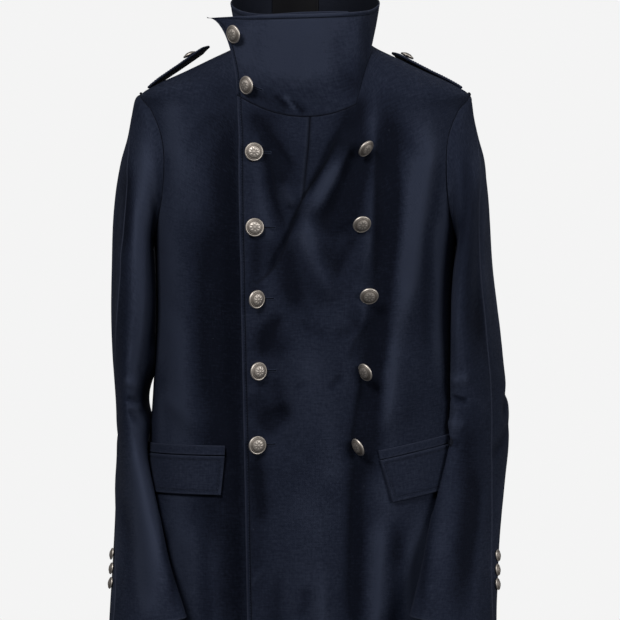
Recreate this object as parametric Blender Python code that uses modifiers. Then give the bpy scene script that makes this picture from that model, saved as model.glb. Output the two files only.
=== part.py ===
"""A double-breasted pea coat, filled out as if worn, for Blender 4.5.

Every size is in millimetres and becomes metres where a mesh is made. The coat faces -Y and +Z is up.
The origin is the middle of the neck's base, level with the side points of the neckline. Left and
right are the wearer's, so the left half of the coat is on the +X side.

The cloth is made of walls. Each wall is a grid of points on a garment surface and a second grid one
cloth thickness further in, and neighbouring pieces share the points of their seam.
"""

import math

import bpy
import numpy as np
from mathutils import Vector

MM = 0.001
CLOTH = 2.5
SEAM = 0.3
LEFT, RIGHT = 1, -1

# The body's level sections: one row for each height.
BODY_COLUMNS = ("height", "half_width", "front_depth", "back_depth", "squareness")
BODY_ROWS = (
    (14, 77, 68, 65, 2.6),
    (5, 84.5, 74, 68, 2.5),
    (-15, 124, 80, 80, 2.4),
    (-30, 156, 84, 88, 2.3),
    (-45, 189, 89, 95, 2.3),
    (-56, 208, 93, 99, 2.3),
    (-80, 208, 100, 106, 2.3),
    (-110, 206, 107, 112, 2.3),
    (-155, 203, 115, 118, 2.3),
    (-200, 197, 120, 120, 2.3),
    (-250, 192, 122, 118, 2.3),
    (-320, 190, 122, 113, 2.3),
    (-435, 194, 121, 108, 2.3),
    (-540, 202, 124, 116, 2.3),
    (-640, 210, 127, 125, 2.3),
    (-820, 224, 133, 134, 2.3),
)

# Lines that the panels are cut to.
HEM = -820
NECK_SIDE = (84.5, 5.0)
SHOULDER_TIP = (208.0, -56.0)
ARMHOLE_MIDDLE = -153
ARMHOLE_HALF_HEIGHT = 97
ARMHOLE_HALF_DEPTH = 66
NECK_FRONT = -94.5
NECK_FRONT_RISE = 15.3
NECK_BACK = 12.5
NECK_POWER = 3.8
SIDE_POWER = 1.6
OVERLAP = 62
OVER_LIFT = 3.2
OVER_FADE = (64, 80)
EDGE_LIFT = 1.2
EDGE_FADE = (-48, -66)
FRONT_EDGE_TOP = (-83.5, -66)
FRONT_EDGE_FOOT = (-70, -720)

# The front's largest folds, as the eye in front sees them: a ridge has a depth above 0.
FOLD_COLUMNS = ("top_x", "top_z", "foot_x", "foot_z", "half_width", "depth")
FRONT_FOLDS = (
    (52, -92, -6, -200, 17, -5.5),
    (-2, -188, -60, -306, 16, -5.5),
    (62, -104, 0, -232, 15, 4.5),
    (-4, -216, 30, -330, 18, 4.5),
    (-70, -84, -22, -268, 17, -5.0),
    (52, -140, 42, -300, 20, -6.0),
    (77, -100, 74, -380, 15, 3.5),
    (152, -100, 122, -370, 24, 5.5),
    (122, -350, 84, -800, 22, 6.0),
    (106, -150, 50, -800, 17, -5.5),
    (-150, -130, -148, -800, 26, 4.5),
    (-98, -150, -92, -800, 17, -5.0),
    (12, -340, 8, -800, 26, 5.5),
    (-36, -370, -30, -520, 14, -4.0),
)
# The folds lie flatter under the pocket flaps: from which x outwards, and between which heights.
FLAT_FROM = (58, 84)
FLAT_ZONE = (-625, -450)
FLAT_FADE = 45
FLAT_SHARE = 0.88
# Each fold fades out over a share of its length at either end, and the folds in front and behind
# fade out towards the sides, where the surface looks less ahead than this.
FOLD_END = 0.22
FOLD_FACING = 0.3
BACK_FOLDS = (
    (0, -180, 0, -800, 22, -5.0),
    (-120, -130, -96, -790, 28, 5.0),
    (118, -150, 100, -800, 26, 5.0),
    (62, -330, 52, -800, 20, -4.5),
    (-58, -360, -50, -800, 20, -4.5),
)

# The grid's lines: how many cells each stretch of a panel has, and where its rows stand.
SIDE_CELLS, ARMHOLE_CELLS, SHOULDER_CELLS = 14, 9, 4
EDGE_CELLS, MIDDLE_CELLS, WRAP_CELLS, BACK_CELLS = 2, 10, 10, 22
ROW_STOPS_FRONT = (HEM, -280, -146, NECK_FRONT)
ROW_STOPS_BACK = (HEM, -256, -60, NECK_BACK)
NECK_ROWS = 8
LATE_ROWS = 3
BACK_POWER = 1.8

# The sleeves, one row for each section from the armhole to the cuff. The outer and inner points are
# those that the eye in front sees; the section's long half reaches forwards and is turned inwards.
SLEEVE_COLUMNS = (
    "outer_x", "outer_z", "inner_x", "inner_z", "middle_y", "long_half", "turn", "seam"
)
RIGHT_SLEEVE = (
    (208.0, -56, 192.0, -250, 0, 66.0, 0, 0),
    (215.5, -62, 192.6, -251.5, 0, 66.5, 0, 4),
    (220.5, -84, 193.0, -254, 0, 68.0, 0, 15),
    (226.0, -112, 192.0, -259, 0, 70.5, 0, 30),
    (234.5, -142, 190.0, -268, 0, 73.0, 0, 44),
    (241.0, -178, 187.5, -281, -1, 75.5, 0, 55),
    (245.0, -222, 185.5, -303, -2, 77.5, 0, 58),
    (246.5, -275, 185.0, -335, -2, 78.5, 0, 56),
    (247.5, -335, 188.5, -375, 0, 78.0, 0, 50),
    (246.0, -390, 196.5, -415, 4, 76.0, 0, 38),
    (242.0, -450, 201.5, -455, 8, 74.0, 0, 20),
    (241.5, -500, 197.0, -500, 3, 72.0, 3, 6),
    (242.0, -550, 188.0, -548, -16, 69.0, 10, -4),
    (242.5, -598, 178.5, -598, -44, 66.0, 20, -12),
    (242.5, -645, 165.0, -648, -76, 62.0, 32, -22),
    (243.0, -690, 152.0, -685, -98, 60.0, 43, -30),
    (243.5, -722, 144.0, -708, -110, 60.0, 49, -36),
)
LEFT_SLEEVE = (
    (208.0, -56, 192.0, -250, 0, 66.0, 0, 0),
    (211.5, -63, 192.6, -251.5, 0, 66.5, 0, 4),
    (215.0, -86, 193.0, -254, 0, 68.0, 0, 15),
    (221.0, -112, 192.0, -259, 0, 70.5, 0, 28),
    (229.0, -142, 189.5, -268, 0, 73.0, 0, 38),
    (233.0, -178, 186.5, -281, -1, 75.5, 3, 42),
    (236.0, -222, 184.5, -303, -2, 77.0, 7, 36),
    (240.0, -275, 183.5, -335, -3, 77.0, 11, 30),
    (248.0, -335, 183.0, -375, -4, 76.0, 16, 24),
    (255.5, -395, 182.0, -418, -5, 74.5, 20, 22),
    (263.0, -455, 180.0, -460, -8, 73.0, 25, 22),
    (262.5, -505, 173.0, -502, -16, 71.0, 30, 14),
    (256.0, -552, 163.5, -548, -34, 69.0, 34, 0),
    (249.0, -598, 154.0, -598, -58, 66.0, 38, -12),
    (243.0, -645, 143.5, -648, -84, 65.0, 43, -24),
    (239.5, -690, 133.5, -685, -104, 64.0, 49, -34),
    (238.0, -722, 127.5, -706, -114, 64.0, 52, -40),
)
SLEEVE_STOPS = (0, 1, 2, 3, 4, 5, 6, 7, 8, 9, 9.5, 10, 10.5, 11, 11.5, 12, 12.5, 13, 13.5, 14, 15, 16)
CAP_FADE = 8
CLEAR_FROM = 3
BODY_CLEARANCE = 4.0
FLAP_CLEARANCE = 8.5
FLAP_ZONE = (-595, -475)
FLAP_ZONE_FADE = 20
# The sleeve's edge faces as the body does along the top of the armhole, up to this angle, and its
# seam's step turns outwards under the arm, from that angle; each then fades over the second one.
ALONG_BODY = (115, 45)
STEP_OUTWARDS = (80, 60)

# The collar: one row for each place round the neck, counted in degrees from the middle of the
# front. It starts under the left front, runs round the wearer's right side and the back, and ends
# on top, past a full turn. The top's reach is measured from the origin's axis.
COLLAR_COLUMNS = ("around", "top_reach", "top_height")
COLLAR_ROWS = (
    (33, 101, 39),
    (0, 103, 36),
    (-30, 104, 35),
    (-60, 99, 46),
    (-90, 95, 63),
    (-120, 88, 79),
    (-150, 81, 90),
    (-180, 78, 94),
    (-210, 81, 90),
    (-240, 88, 79),
    (-270, 95.5, 63),
    (-300, 98, 46),
    (-330, 101, 37),
    (-360, 103, 33),
    (-380, 107, 32.5),
    (-403, 126, 32),
)
COLLAR_LIFT = 4.2
COLLAR_LIFT_RANGE = (-290, -320)
COLLAR_CELLS_UP = 5
COLLAR_TIP = (-122, -84, 30.5)
COLLAR_TIP_FROM = -372
COLLAR_TIP_POWER = 2.2

# Straps, flaps and the label.
STRAP_HALF_WIDTH = 23
STRAP_OUTER = 199
STRAP_INNER = {RIGHT: 114.5, LEFT: 108.5}
STRAP_POINT = 9
STRAP_THICK = 3.0
STRAP_LIFT = {RIGHT: (0.1, 15.5), LEFT: (0.1, 3.5)}
STRAP_RISE = 0.9
STRAP_CELLS = (10, 4)
STRAP_BUTTON_ROW = {RIGHT: 7, LEFT: 8}
SHOULDER_HEIGHTS = (-140, 13)
HALVINGS = 30
ON_PANEL = 0.8
# Each flap: the top edge's inner and outer ends, and the foot's, as x and z.
FLAPS = {
    RIGHT: {"top": ((-98.5, -513), (-199, -513)), "foot": ((-103, -561), (-199, -561))},
    LEFT: {"top": ((92, -518), (200, -496)), "foot": ((106.5, -570), (200, -551))},
}
WELTS = {
    RIGHT: {"top": ((-98.5, -500), (-199, -500)), "foot": ((-98.5, -512), (-199, -512))},
    LEFT: {"top": ((90, -506), (200, -484)), "foot": ((92, -517), (200, -495))},
}
FLAP_SPREAD = 0.8
FLAP_CELLS = (11, 3)
WELT_CELLS = (11, 1)
WELT_THICK = 1.6
LABEL = {"from_x": -44, "to_x": 18, "foot": 40, "top": 82}
LABEL_THICK = 1.0
LABEL_OFF = 0.6
LABEL_CELLS = (7, 3)
LABEL_SEARCH = 20
COLLAR_BACK_REACH, COLLAR_BACK_HEIGHT = 80, 95

# Buttons: the half section, as radius and height above the shank's foot, for a width of 1.
BUTTON_SECTION = (
    (0.0, 0.365),
    (0.20, 0.345),
    (0.375, 0.280),
    (0.47, 0.215),
    (0.50, 0.180),
    (0.465, 0.140),
    (0.12, 0.120),
    (0.12, 0.0),
    (0.0, 0.0),
)
BUTTON_STEPS = 12
BUTTON_MERGE = 0.0001
BUTTON_OFF = 0.5
BUTTON_WIDE, BUTTON_STRAP, BUTTON_SMALL = 23.0, 18.0, 15.0
# Where the front buttons sit, as x and z, how far each leans sideways and downwards, in degrees,
# and how far its lowest point stands off the cloth's slope at its middle.
RIGHT_BUTTONS = (
    (-62.5, -137, 4, 2, 0.5),
    (-61.5, -232, 0, 0, 0.5),
    (-58.5, -320, 14, 4, 0.5),
    (-57.5, -408, -10, 6, 0.5),
    (-58.0, -499, 0, 3, 0.5),
)
LEFT_BUTTONS = (
    (75.0, -135, 46, -14, -1.1),
    (70.5, -227, 10, 4, -0.4),
    (76.5, -318, -6, 2, -0.1),
    (74.0, -409, -38, 22, 1.8),
    (66.5, -503, 56, 16, -0.9),
)
COLLAR_BUTTONS = ((-393.3, 0.69), (-395.9, 0.19))
CUFF_BUTTON_STOPS = (14.0, 14.42, 14.84)
CUFF_BUTTON_BEHIND = 14

NAVY = (0.014, 0.017, 0.031, 1.0)
BLACK = (0.008, 0.008, 0.011, 1.0)
SILVER = (0.52, 0.49, 0.44, 1.0)


# Small steps for the slopes of surfaces: angles in radians, heights in millimetres, the sleeve's
# stops in rows, the collar's places in degrees and in shares of its height.
SMALL_TURN, SMALL_HEIGHT = 0.002, 0.3
SMALL_ANGLE, SMALL_STOP = 0.004, 0.016
SMALL_AROUND, SMALL_UP = 0.5, 0.01
JUST_PAST = 1e-9


def columns(rows, names):
    """The rows of a table as one array for each named column."""
    return dict(zip(names, np.array(rows, float).T))


BODY = columns(BODY_ROWS[::-1], BODY_COLUMNS)
SLEEVES = {LEFT: columns(LEFT_SLEEVE, SLEEVE_COLUMNS), RIGHT: columns(RIGHT_SLEEVE, SLEEVE_COLUMNS)}
COLLAR = columns(COLLAR_ROWS[::-1], COLLAR_COLUMNS)


def curve(at, knots, values):
    """The smooth curve through knots and values, its slope at each knot taken from its neighbours."""
    at = np.asarray(at, float)
    slopes = np.gradient(values, knots)
    i = np.clip(np.searchsorted(knots, at, side="right") - 1, 0, len(knots) - 2)
    span = knots[i + 1] - knots[i]
    t = np.clip((at - knots[i]) / span, 0.0, 1.0)
    start, end = values[i], values[i + 1]
    from_start = (1 + 2 * t) * (1 - t) ** 2 * start + t * (1 - t) ** 2 * span * slopes[i]
    from_end = t**2 * (3 - 2 * t) * end + t**2 * (t - 1) * span * slopes[i + 1]
    return from_start + from_end


def ease(t):
    """0 below 0 and 1 above 1, with a soft rise between."""
    t = np.clip(t, 0.0, 1.0)
    return t * t * (3 - 2 * t)


def fold_relief(x, z, folds):
    """How far each fold lifts or sinks the cloth, added up over the folds at the points (x, z)."""
    relief = np.zeros(np.broadcast(x, z).shape)
    for row in folds:
        fold = dict(zip(FOLD_COLUMNS, row))
        right, down = x - fold["top_x"], z - fold["top_z"]
        run = np.array([fold["foot_x"] - fold["top_x"], fold["foot_z"] - fold["top_z"]], float)
        length = np.hypot(*run)
        along = (right * run[0] + down * run[1]) / length**2
        across = (right * run[1] - down * run[0]) / length
        ends = ease(along / FOLD_END) * ease((1 - along) / FOLD_END)
        relief += fold["depth"] * ends * np.exp(-((across / fold["half_width"]) ** 2))
    return relief


def plain_radius(turn, height):
    """The body's distance from the vertical axis at an angle from the front, with no folds."""
    size = {name: curve(height, BODY["height"], BODY[name]) for name in BODY_COLUMNS[1:]}
    side, ahead = np.abs(np.sin(turn)), np.abs(np.cos(turn))
    depth = np.where(np.cos(turn) > 0, size["front_depth"], size["back_depth"])
    power = size["squareness"]
    return ((side / size["half_width"]) ** power + (ahead / depth) ** power) ** (-1 / power)


def body_radius(turn, height):
    """The body's distance from the vertical axis, folds and all."""
    radius = plain_radius(turn, height)
    x = radius * np.sin(turn)
    ahead = np.cos(turn)
    above_foot = ease((height - FLAT_ZONE[0]) / FLAT_FADE)
    below_top = ease((FLAT_ZONE[1] - height) / FLAT_FADE)
    outside = ease((np.abs(x) - FLAT_FROM[0]) / (FLAT_FROM[1] - FLAT_FROM[0]))
    kept = 1 - FLAT_SHARE * above_foot * below_top * outside
    front = fold_relief(x, height, FRONT_FOLDS) * ease(ahead / FOLD_FACING) * kept
    back = fold_relief(x, height, BACK_FOLDS) * ease(-ahead / FOLD_FACING)
    return radius + front + back


def unit(vectors):
    """The vectors at length 1."""
    return vectors / np.linalg.norm(vectors, axis=-1, keepdims=True)


def over_lift(turn, height):
    """How far the left front stands off where it lies on the right front, most at its free edge."""
    x = plain_radius(turn, height) * np.sin(turn)
    over = OVER_LIFT * ease((OVER_FADE[1] - x) / (OVER_FADE[1] - OVER_FADE[0]))
    return over + EDGE_LIFT * ease((EDGE_FADE[0] - x) / (EDGE_FADE[0] - EDGE_FADE[1]))


def body_point(turn, height, lifted=False):
    """The point of the body's surface at an angle from the front and a height."""
    radius = body_radius(turn, height)
    point = np.stack([radius * np.sin(turn), -radius * np.cos(turn), height + 0 * radius], axis=-1)
    if lifted:
        point = point + body_normal(turn, height) * over_lift(turn, height)[..., None]
    return point


def body_normal(turn, height):
    """The outward direction of the body's surface, from its slopes across and up."""
    across = body_point(turn + SMALL_TURN, height) - body_point(turn - SMALL_TURN, height)
    up = body_point(turn, height + SMALL_HEIGHT) - body_point(turn, height - SMALL_HEIGHT)
    return unit(np.cross(across, up))


def turn_of_x(x, height):
    """The angle from the front at which the front's surface has this x."""
    width = curve(height, BODY["height"], BODY["half_width"])
    depth = curve(height, BODY["height"], BODY["front_depth"])
    power = curve(height, BODY["height"], BODY["squareness"])
    ahead = depth * (1 - np.clip(np.abs(x) / width, 0, 1) ** power) ** (1 / power)
    return np.arctan2(x, ahead)


def armhole(angle, side, front):
    """Angle and height on the body of the armhole, from 0 at the shoulder to pi under the arm."""
    height = ARMHOLE_MIDDLE + ARMHOLE_HALF_HEIGHT * np.cos(angle)
    depth = ARMHOLE_HALF_DEPTH * np.abs(np.sin(angle))
    width = curve(height, BODY["height"], BODY["half_width"])
    power = curve(height, BODY["height"], BODY["squareness"])
    reach = curve(height, BODY["height"], BODY["front_depth" if front else "back_depth"])
    x = side * width * (1 - (depth / reach) ** power) ** (1 / power)
    return np.arctan2(x, depth if front else -depth), height


def side_line(side, front):
    """A panel's side: up the side seam, round half the armhole and along the shoulder seam."""
    seam = np.linspace(HEM, ARMHOLE_MIDDLE - ARMHOLE_HALF_HEIGHT, SIDE_CELLS + 1)
    turn, height = armhole(np.linspace(np.pi, 0, ARMHOLE_CELLS + 1), side, front)
    shoulder = np.linspace(SHOULDER_TIP[1], NECK_SIDE[1], SHOULDER_CELLS + 1)
    sideways = side * np.pi / 2
    heights = np.concatenate([seam, height[1:], shoulder[1:]])
    turns = np.concatenate([np.full(seam.size, sideways), turn[1:], np.full(SHOULDER_CELLS, sideways)])
    turns[[SIDE_CELLS, SIDE_CELLS + ARMHOLE_CELLS]] = sideways
    return turns, heights


def row_heights(stops):
    """The heights of a panel's rows at its middle, evenly spaced between the stops."""
    cells = (SIDE_CELLS, ARMHOLE_CELLS, SHOULDER_CELLS)
    parts = [np.linspace(low, high, n + 1)[:-1] for low, high, n in zip(stops, stops[1:], cells)]
    return np.concatenate(parts + [[stops[-1]]])


def side_rise(t):
    """A front's rows on their way to the side: low ones rise late, those by the neck at once."""
    rows = SIDE_CELLS + ARMHOLE_CELLS + SHOULDER_CELLS
    row = np.arange(rows + 1)[:, None]
    first = SIDE_CELLS + LATE_ROWS
    early = ease((row - first) / (rows - first))
    return early * (1 - (1 - t) ** NECK_POWER) + (1 - early) * t**SIDE_POWER


def neck_weight():
    """How much of the neckline's curve each row takes: all of it at the neck, none far below."""
    rows = SIDE_CELLS + ARMHOLE_CELLS + SHOULDER_CELLS
    return np.clip((np.arange(rows + 1) - rows + NECK_ROWS) / NECK_ROWS, 0, 1)


def front_height(x):
    """The heights of the fronts' rows at x, where the fronts overlap."""
    rise = NECK_FRONT_RISE * (x / OVERLAP) ** 2
    return row_heights(ROW_STOPS_FRONT)[:, None] + neck_weight()[:, None] * rise


def edge_x(height):
    """Where the left front's free edge stands."""
    (top_x, top_z), (foot_x, foot_z) = FRONT_EDGE_TOP, FRONT_EDGE_FOOT
    return top_x + (foot_x - top_x) * (height - top_z) / (foot_z - top_z)


def front_grid(side):
    """Angles and heights of a front's grid, with columns from the wearer's right to the left.

    Both fronts have the same columns where they overlap, from the left one's free edge onwards.
    """
    across = np.linspace(-OVERLAP, OVERLAP, MIDDLE_CELLS + 1)[None, :]
    middle = front_height(across)
    middle_turn = turn_of_x(across, middle)
    outward = np.linspace(1, 0, EDGE_CELLS + 1)[None, :-1]
    across = -OVERLAP + (edge_x(middle[:, :1]) + OVERLAP) * outward
    edge = front_height(across)
    edge_turn = turn_of_x(across, edge)
    near = slice(-1, None) if side == LEFT else slice(0, 1)
    start_turn, start = middle_turn[:, near], middle[:, near]
    side_turn, side_height = (line[:, None] for line in side_line(side, True))
    if side == LEFT:
        t = np.linspace(0, 1, WRAP_CELLS + 1)[None, 1:] + 0 * start
    else:
        shared = (edge_turn - start_turn) / (side_turn - start_turn)
        onward = np.linspace(1, 0, WRAP_CELLS - EDGE_CELLS + 1)[None, :-1]
        t = np.concatenate([shared[:, :1] + (1 - shared[:, :1]) * onward, shared], axis=1)
    wrap_turn = start_turn + (side_turn - start_turn) * t
    wrap = start + (side_height - start) * side_rise(t)
    if side == LEFT:
        turns, heights = (edge_turn, middle_turn, wrap_turn), (edge, middle, wrap)
    else:
        turns, heights = (wrap_turn, middle_turn), (wrap, middle)
    return np.concatenate(turns, axis=1), np.concatenate(heights, axis=1)


def back_grid():
    """Angles and heights of the back's grid, from the wearer's left side to the right one."""
    left_turn, side_height = side_line(LEFT, False)
    right_turn = 2 * np.pi + side_line(RIGHT, False)[0]
    t = np.linspace(0, 1, BACK_CELLS + 1)[None, :]
    turn = left_turn[:, None] + (right_turn - left_turn)[:, None] * t
    centre = row_heights(ROW_STOPS_BACK)[:, None]
    rise = np.abs(2 * t - 1) ** BACK_POWER
    return turn, centre + (side_height[:, None] - centre) * rise


def grid_faces(rows, cols, first=0):
    """Triangles over a grid of points, two for each cell, always split the same way."""
    corner = (np.arange(rows - 1)[:, None] * cols + np.arange(cols - 1)[None, :]).ravel() + first
    low = np.stack([corner, corner + 1, corner + cols + 1], axis=1)
    high = np.stack([corner, corner + cols + 1, corner + cols], axis=1)
    return np.concatenate([low, high])


def rim_faces(loop, offset, crossed):
    """Triangles that join a loop of outer points to the inner points below them.

    The first cells, as many as are crossed, are split along their other diagonal, to match the rim
    of the piece beside them.
    """
    following = np.roll(loop, -1)
    other = np.arange(loop.size) < crossed
    below, start = np.where(other, loop, following), np.where(other, following, loop)
    low = np.stack([loop, following, below + offset], axis=1)
    high = np.stack([start, following + offset, loop + offset], axis=1)
    return np.concatenate([low, high])


def make_object(name, points, faces, material):
    """A smooth-shaded mesh object from points in millimetres, its faces turned outwards."""
    a, b, c = (points[faces[:, i]] for i in range(3))
    if np.einsum("ij,ij->i", a, np.cross(b, c)).sum() < 0:
        faces = faces[:, ::-1]
    mesh = bpy.data.meshes.new(name)
    mesh.from_pydata((points * MM).tolist(), [], faces.tolist())
    mesh.materials.append(material)
    mesh.shade_smooth()
    mesh.validate()
    made = bpy.data.objects.new(name, mesh)
    coat.objects.link(made)
    return made


def cloth_wall(name, outer, inner, material, crossed=0):
    """A closed wall between two grids of points: the cloth's outer face and its inner one."""
    rows, cols = outer.shape[:2]
    index = np.arange(rows * cols).reshape(rows, cols)
    loop = np.concatenate([index[0, :-1], index[:-1, -1], index[-1, :0:-1], index[:0:-1, 0]])
    count = rows * cols
    faces = np.concatenate([
        grid_faces(rows, cols),
        grid_faces(rows, cols, count)[:, ::-1],
        rim_faces(loop, count, crossed)[:, ::-1],
    ])
    points = np.concatenate([outer.reshape(-1, 3), inner.reshape(-1, 3)])
    return make_object(name, points, faces, material)


def aside(points, line, shift):
    """The grid with one of its columns moved sideways by half a seam's gap."""
    points = points.copy()
    points[:, line, 1] += shift
    return points


def make_front(side, material):
    """One front. The left one lies on the right one, so it is lifted off it there."""
    turn, height = front_grid(side)
    lifted = side == LEFT
    outer = aside(body_point(turn, height, lifted), -1 if lifted else 0, -SEAM / 2)
    inner = outer - CLOTH * body_normal(turn, height)
    name = "front_left" if lifted else "front_right"
    cloth_wall(name, outer, inner, material)


def make_back(material):
    """The back, from side seam to side seam."""
    turn, height = back_grid()
    outer = aside(aside(body_point(turn, height), 0, SEAM / 2), -1, SEAM / 2)
    inner = outer - CLOTH * body_normal(turn, height)
    cloth_wall("back", outer, inner, material)


def ring_sizes(side, stop):
    """The sleeve table's columns, read smoothly at places counted in rows."""
    rows = np.arange(len(SLEEVES[side]["turn"]), dtype=float)
    return {name: curve(stop, rows, SLEEVES[side][name]) for name in SLEEVE_COLUMNS}


def plain_ring(side, stop, angle):
    """Points of the sleeve's sections, angle 0 outside, a quarter turn in front, pi under the arm."""
    size = ring_sizes(side, stop)
    wide = (size["outer_x"] - size["inner_x"]) / 2
    tall = (size["outer_z"] - size["inner_z"]) / 2
    turn, long_half = np.radians(size["turn"]), size["long_half"]
    short_half = np.sqrt(wide**2 - (long_half * np.sin(turn)) ** 2) / np.cos(turn)
    outward = short_half * np.cos(turn) * np.cos(angle) - long_half * np.sin(turn) * np.sin(angle)
    ahead = short_half * np.sin(turn) * np.cos(angle) + long_half * np.cos(turn) * np.sin(angle)
    x = (size["outer_x"] + size["inner_x"]) / 2 + outward
    z = (size["outer_z"] + size["inner_z"]) / 2 + outward * tall / wide
    return np.stack([side * x, size["middle_y"] - ahead, z], axis=-1)


def armhole_place(side, angle):
    """Angle and height on the body round the whole armhole: its front half has angles above 0."""
    front = armhole(np.abs(angle), side, True)
    back = armhole(np.abs(angle), side, False)
    return np.where(angle >= 0, front[0], back[0]), np.where(angle >= 0, front[1], back[1])


def armhole_ring(side, angle):
    """The armhole's points on the body."""
    return body_point(*armhole_place(side, angle))


def push_off_body(points, stop):
    """The points, moved out from the body's axis where they lie nearer than the clearance."""
    turn = np.arctan2(points[..., 0], -points[..., 1])
    height = points[..., 2]
    above_foot = ease((height - FLAP_ZONE[0]) / FLAP_ZONE_FADE)
    near_flap = above_foot * ease((FLAP_ZONE[1] - height) / FLAP_ZONE_FADE)
    clearance = BODY_CLEARANCE + (FLAP_CLEARANCE - BODY_CLEARANCE) * near_flap
    wanted = body_radius(turn, height) + clearance * ease(stop / CLEAR_FROM)
    radius = np.hypot(points[..., 0], points[..., 1])
    scale = np.where(stop > 0, np.maximum(wanted, radius) / radius, 1.0)
    return np.stack([points[..., 0] * scale, points[..., 1] * scale, height], axis=-1)


def sleeve_point(side, stop, angle):
    """The sleeve's surface: its sections, drawn into the armhole's shape near the shoulder."""
    points = plain_ring(side, stop, angle)
    drawn = armhole_ring(side, angle) - plain_ring(side, 0.0 * stop, angle)
    points = points + drawn * (np.clip(1 - stop / CAP_FADE, 0, 1) ** 2)[..., None]
    return push_off_body(points, stop)


def sleeve_normal(side, stop, angle):
    """The outward direction of the sleeve, and of the body along the top of the armhole's seam."""
    low, high = np.maximum(stop - SMALL_STOP, 0), np.minimum(stop + SMALL_STOP, SLEEVE_STOPS[-1])
    along = sleeve_point(side, high, angle) - sleeve_point(side, low, angle)
    before = np.maximum(angle - SMALL_ANGLE, -np.pi)
    after = np.minimum(angle + SMALL_ANGLE, np.pi)
    round_it = sleeve_point(side, stop, after) - sleeve_point(side, stop, before)
    own = side * unit(np.cross(round_it, along))
    body = body_normal(*armhole_place(side, angle))
    until, fade = np.radians(ALONG_BODY)
    top = ease((until - np.abs(angle)) / fade) * (stop <= 0)
    return unit(own * (1 - top)[..., None] + body * top[..., None])


def armhole_gap(side, angle):
    """The step from the armhole's edge to the sleeve: along the cloth above, outwards below."""
    edge = armhole_ring(side, angle)
    normal = body_normal(*armhole_place(side, angle))
    away = unit(np.cross(np.gradient(edge, axis=0), normal))
    away = away * np.sign(away[:, :1] * side)
    start, fade = np.radians(STEP_OUTWARDS)
    below = ease((np.abs(angle) - start) / fade)[:, None]
    return unit(away * (1 - below) + normal * below) * SEAM * (1 + below)


def make_sleeve(side, material):
    """The sleeve's front and back pieces, from the outer seam to the seam under the arm."""
    stop = np.array(SLEEVE_STOPS, float)[:, None]
    seam = np.radians(ring_sizes(side, stop)["seam"])
    name = "left" if side == LEFT else "right"
    for piece, end in (("front", np.pi), ("back", -np.pi)):
        t = np.linspace(0, 1, ARMHOLE_CELLS + 1)[None, :]
        just_past = math.copysign(JUST_PAST, end)
        angle = np.where(stop > 0, seam + (end - seam) * t, just_past + end * t)
        outer = sleeve_point(side, stop + 0 * angle, angle)
        inner = outer - CLOTH * sleeve_normal(side, stop + 0 * angle, angle)
        inward = unit(outer[:, 1] - outer[:, 0]) * SEAM / 2
        inward_end = unit(outer[:, -2] - outer[:, -1]) * SEAM / 2
        gap = armhole_gap(side, angle[0])
        for grid in (outer, inner):
            grid[:, 0] += inward
            grid[:, -1] += inward_end
            grid[0] += gap
        crossed = ARMHOLE_CELLS if side * end > 0 else 0
        cloth_wall(f"sleeve_{piece}_{name}", outer, inner, material, crossed)


def neck_line():
    """The neckline in the collar's order: angles in degrees, points one seam's gap off the panels'
    top edges, and the panels' outward directions there."""
    pieces = []
    for (turn, height), lifted in ((front_grid(RIGHT), False), (back_grid(), False), (front_grid(LEFT), True)):
        turn, height = turn[-1], height[-1]
        if turn[0] < turn[-1]:
            turn, height = turn[::-1], height[::-1]
        round_the_back = 0 if not pieces else 360
        edge, normal = body_point(turn, height, lifted), body_normal(turn, height)
        pieces.append((np.degrees(turn) - round_the_back, edge, normal))
    around, edge, normal = (
        np.concatenate([piece[i] if n == 0 else piece[i][1:] for n, piece in enumerate(pieces)])
        for i in range(3)
    )
    away = unit(np.cross(np.gradient(edge, axis=0), normal))
    return around, edge + SEAM * away, normal


def collar_point(around, up):
    """The collar's surface: from the neckline to its top, its free end drawn out to a corner."""
    turn = np.radians(around)
    base = np.stack([np.interp(around, NECK_AROUND, NECK_POINTS[:, i]) for i in range(3)], axis=-1)
    start, end = COLLAR_LIFT_RANGE
    lift = COLLAR_LIFT * ease((start - around) / (start - end))
    reach = curve(around, COLLAR["around"], COLLAR["top_reach"]) + lift
    height = curve(around, COLLAR["around"], COLLAR["top_height"])
    top = np.stack([reach * np.sin(turn), -reach * np.cos(turn), height], axis=-1)
    plain = base + (top - base) * up[..., None]
    freed = ease((COLLAR_TIP_FROM - around) / (COLLAR_TIP_FROM - NECK_AROUND[0]))
    drawn = freed * np.maximum(up, 0) ** COLLAR_TIP_POWER
    return plain + (np.array(COLLAR_TIP) - plain) * drawn[..., None]


def collar_normal(around, up):
    """The outward direction of the collar."""
    across = collar_point(around + SMALL_AROUND, up) - collar_point(around - SMALL_AROUND, up)
    rise = collar_point(around, up + SMALL_UP) - collar_point(around, up - SMALL_UP)
    return unit(np.cross(across, rise))


def make_collar(material):
    """The collar, one strip that laps over itself in front, its foot cut to the panels' top edges."""
    up = np.linspace(0, 1, COLLAR_CELLS_UP + 1)[:, None]
    around, up = np.broadcast_arrays(NECK_AROUND[None, :], up)
    outer = collar_point(around, up)
    normal = collar_normal(around, up)
    normal[0] = NECK_NORMALS
    cloth_wall("collar", outer, outer - CLOTH * normal, material)


def shoulder_height(x, y):
    """The height of the body's upper surface over a point of the plan, found by halving."""
    turn, reach = np.arctan2(x, -y), np.hypot(x, y)
    low, high = (np.full(reach.shape, float(end)) for end in SHOULDER_HEIGHTS)
    for _ in range(HALVINGS):
        middle = (low + high) / 2
        outside = body_radius(turn, middle) < reach
        high = np.where(outside, middle, high)
        low = np.where(outside, low, middle)
    return turn, (low + high) / 2


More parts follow.
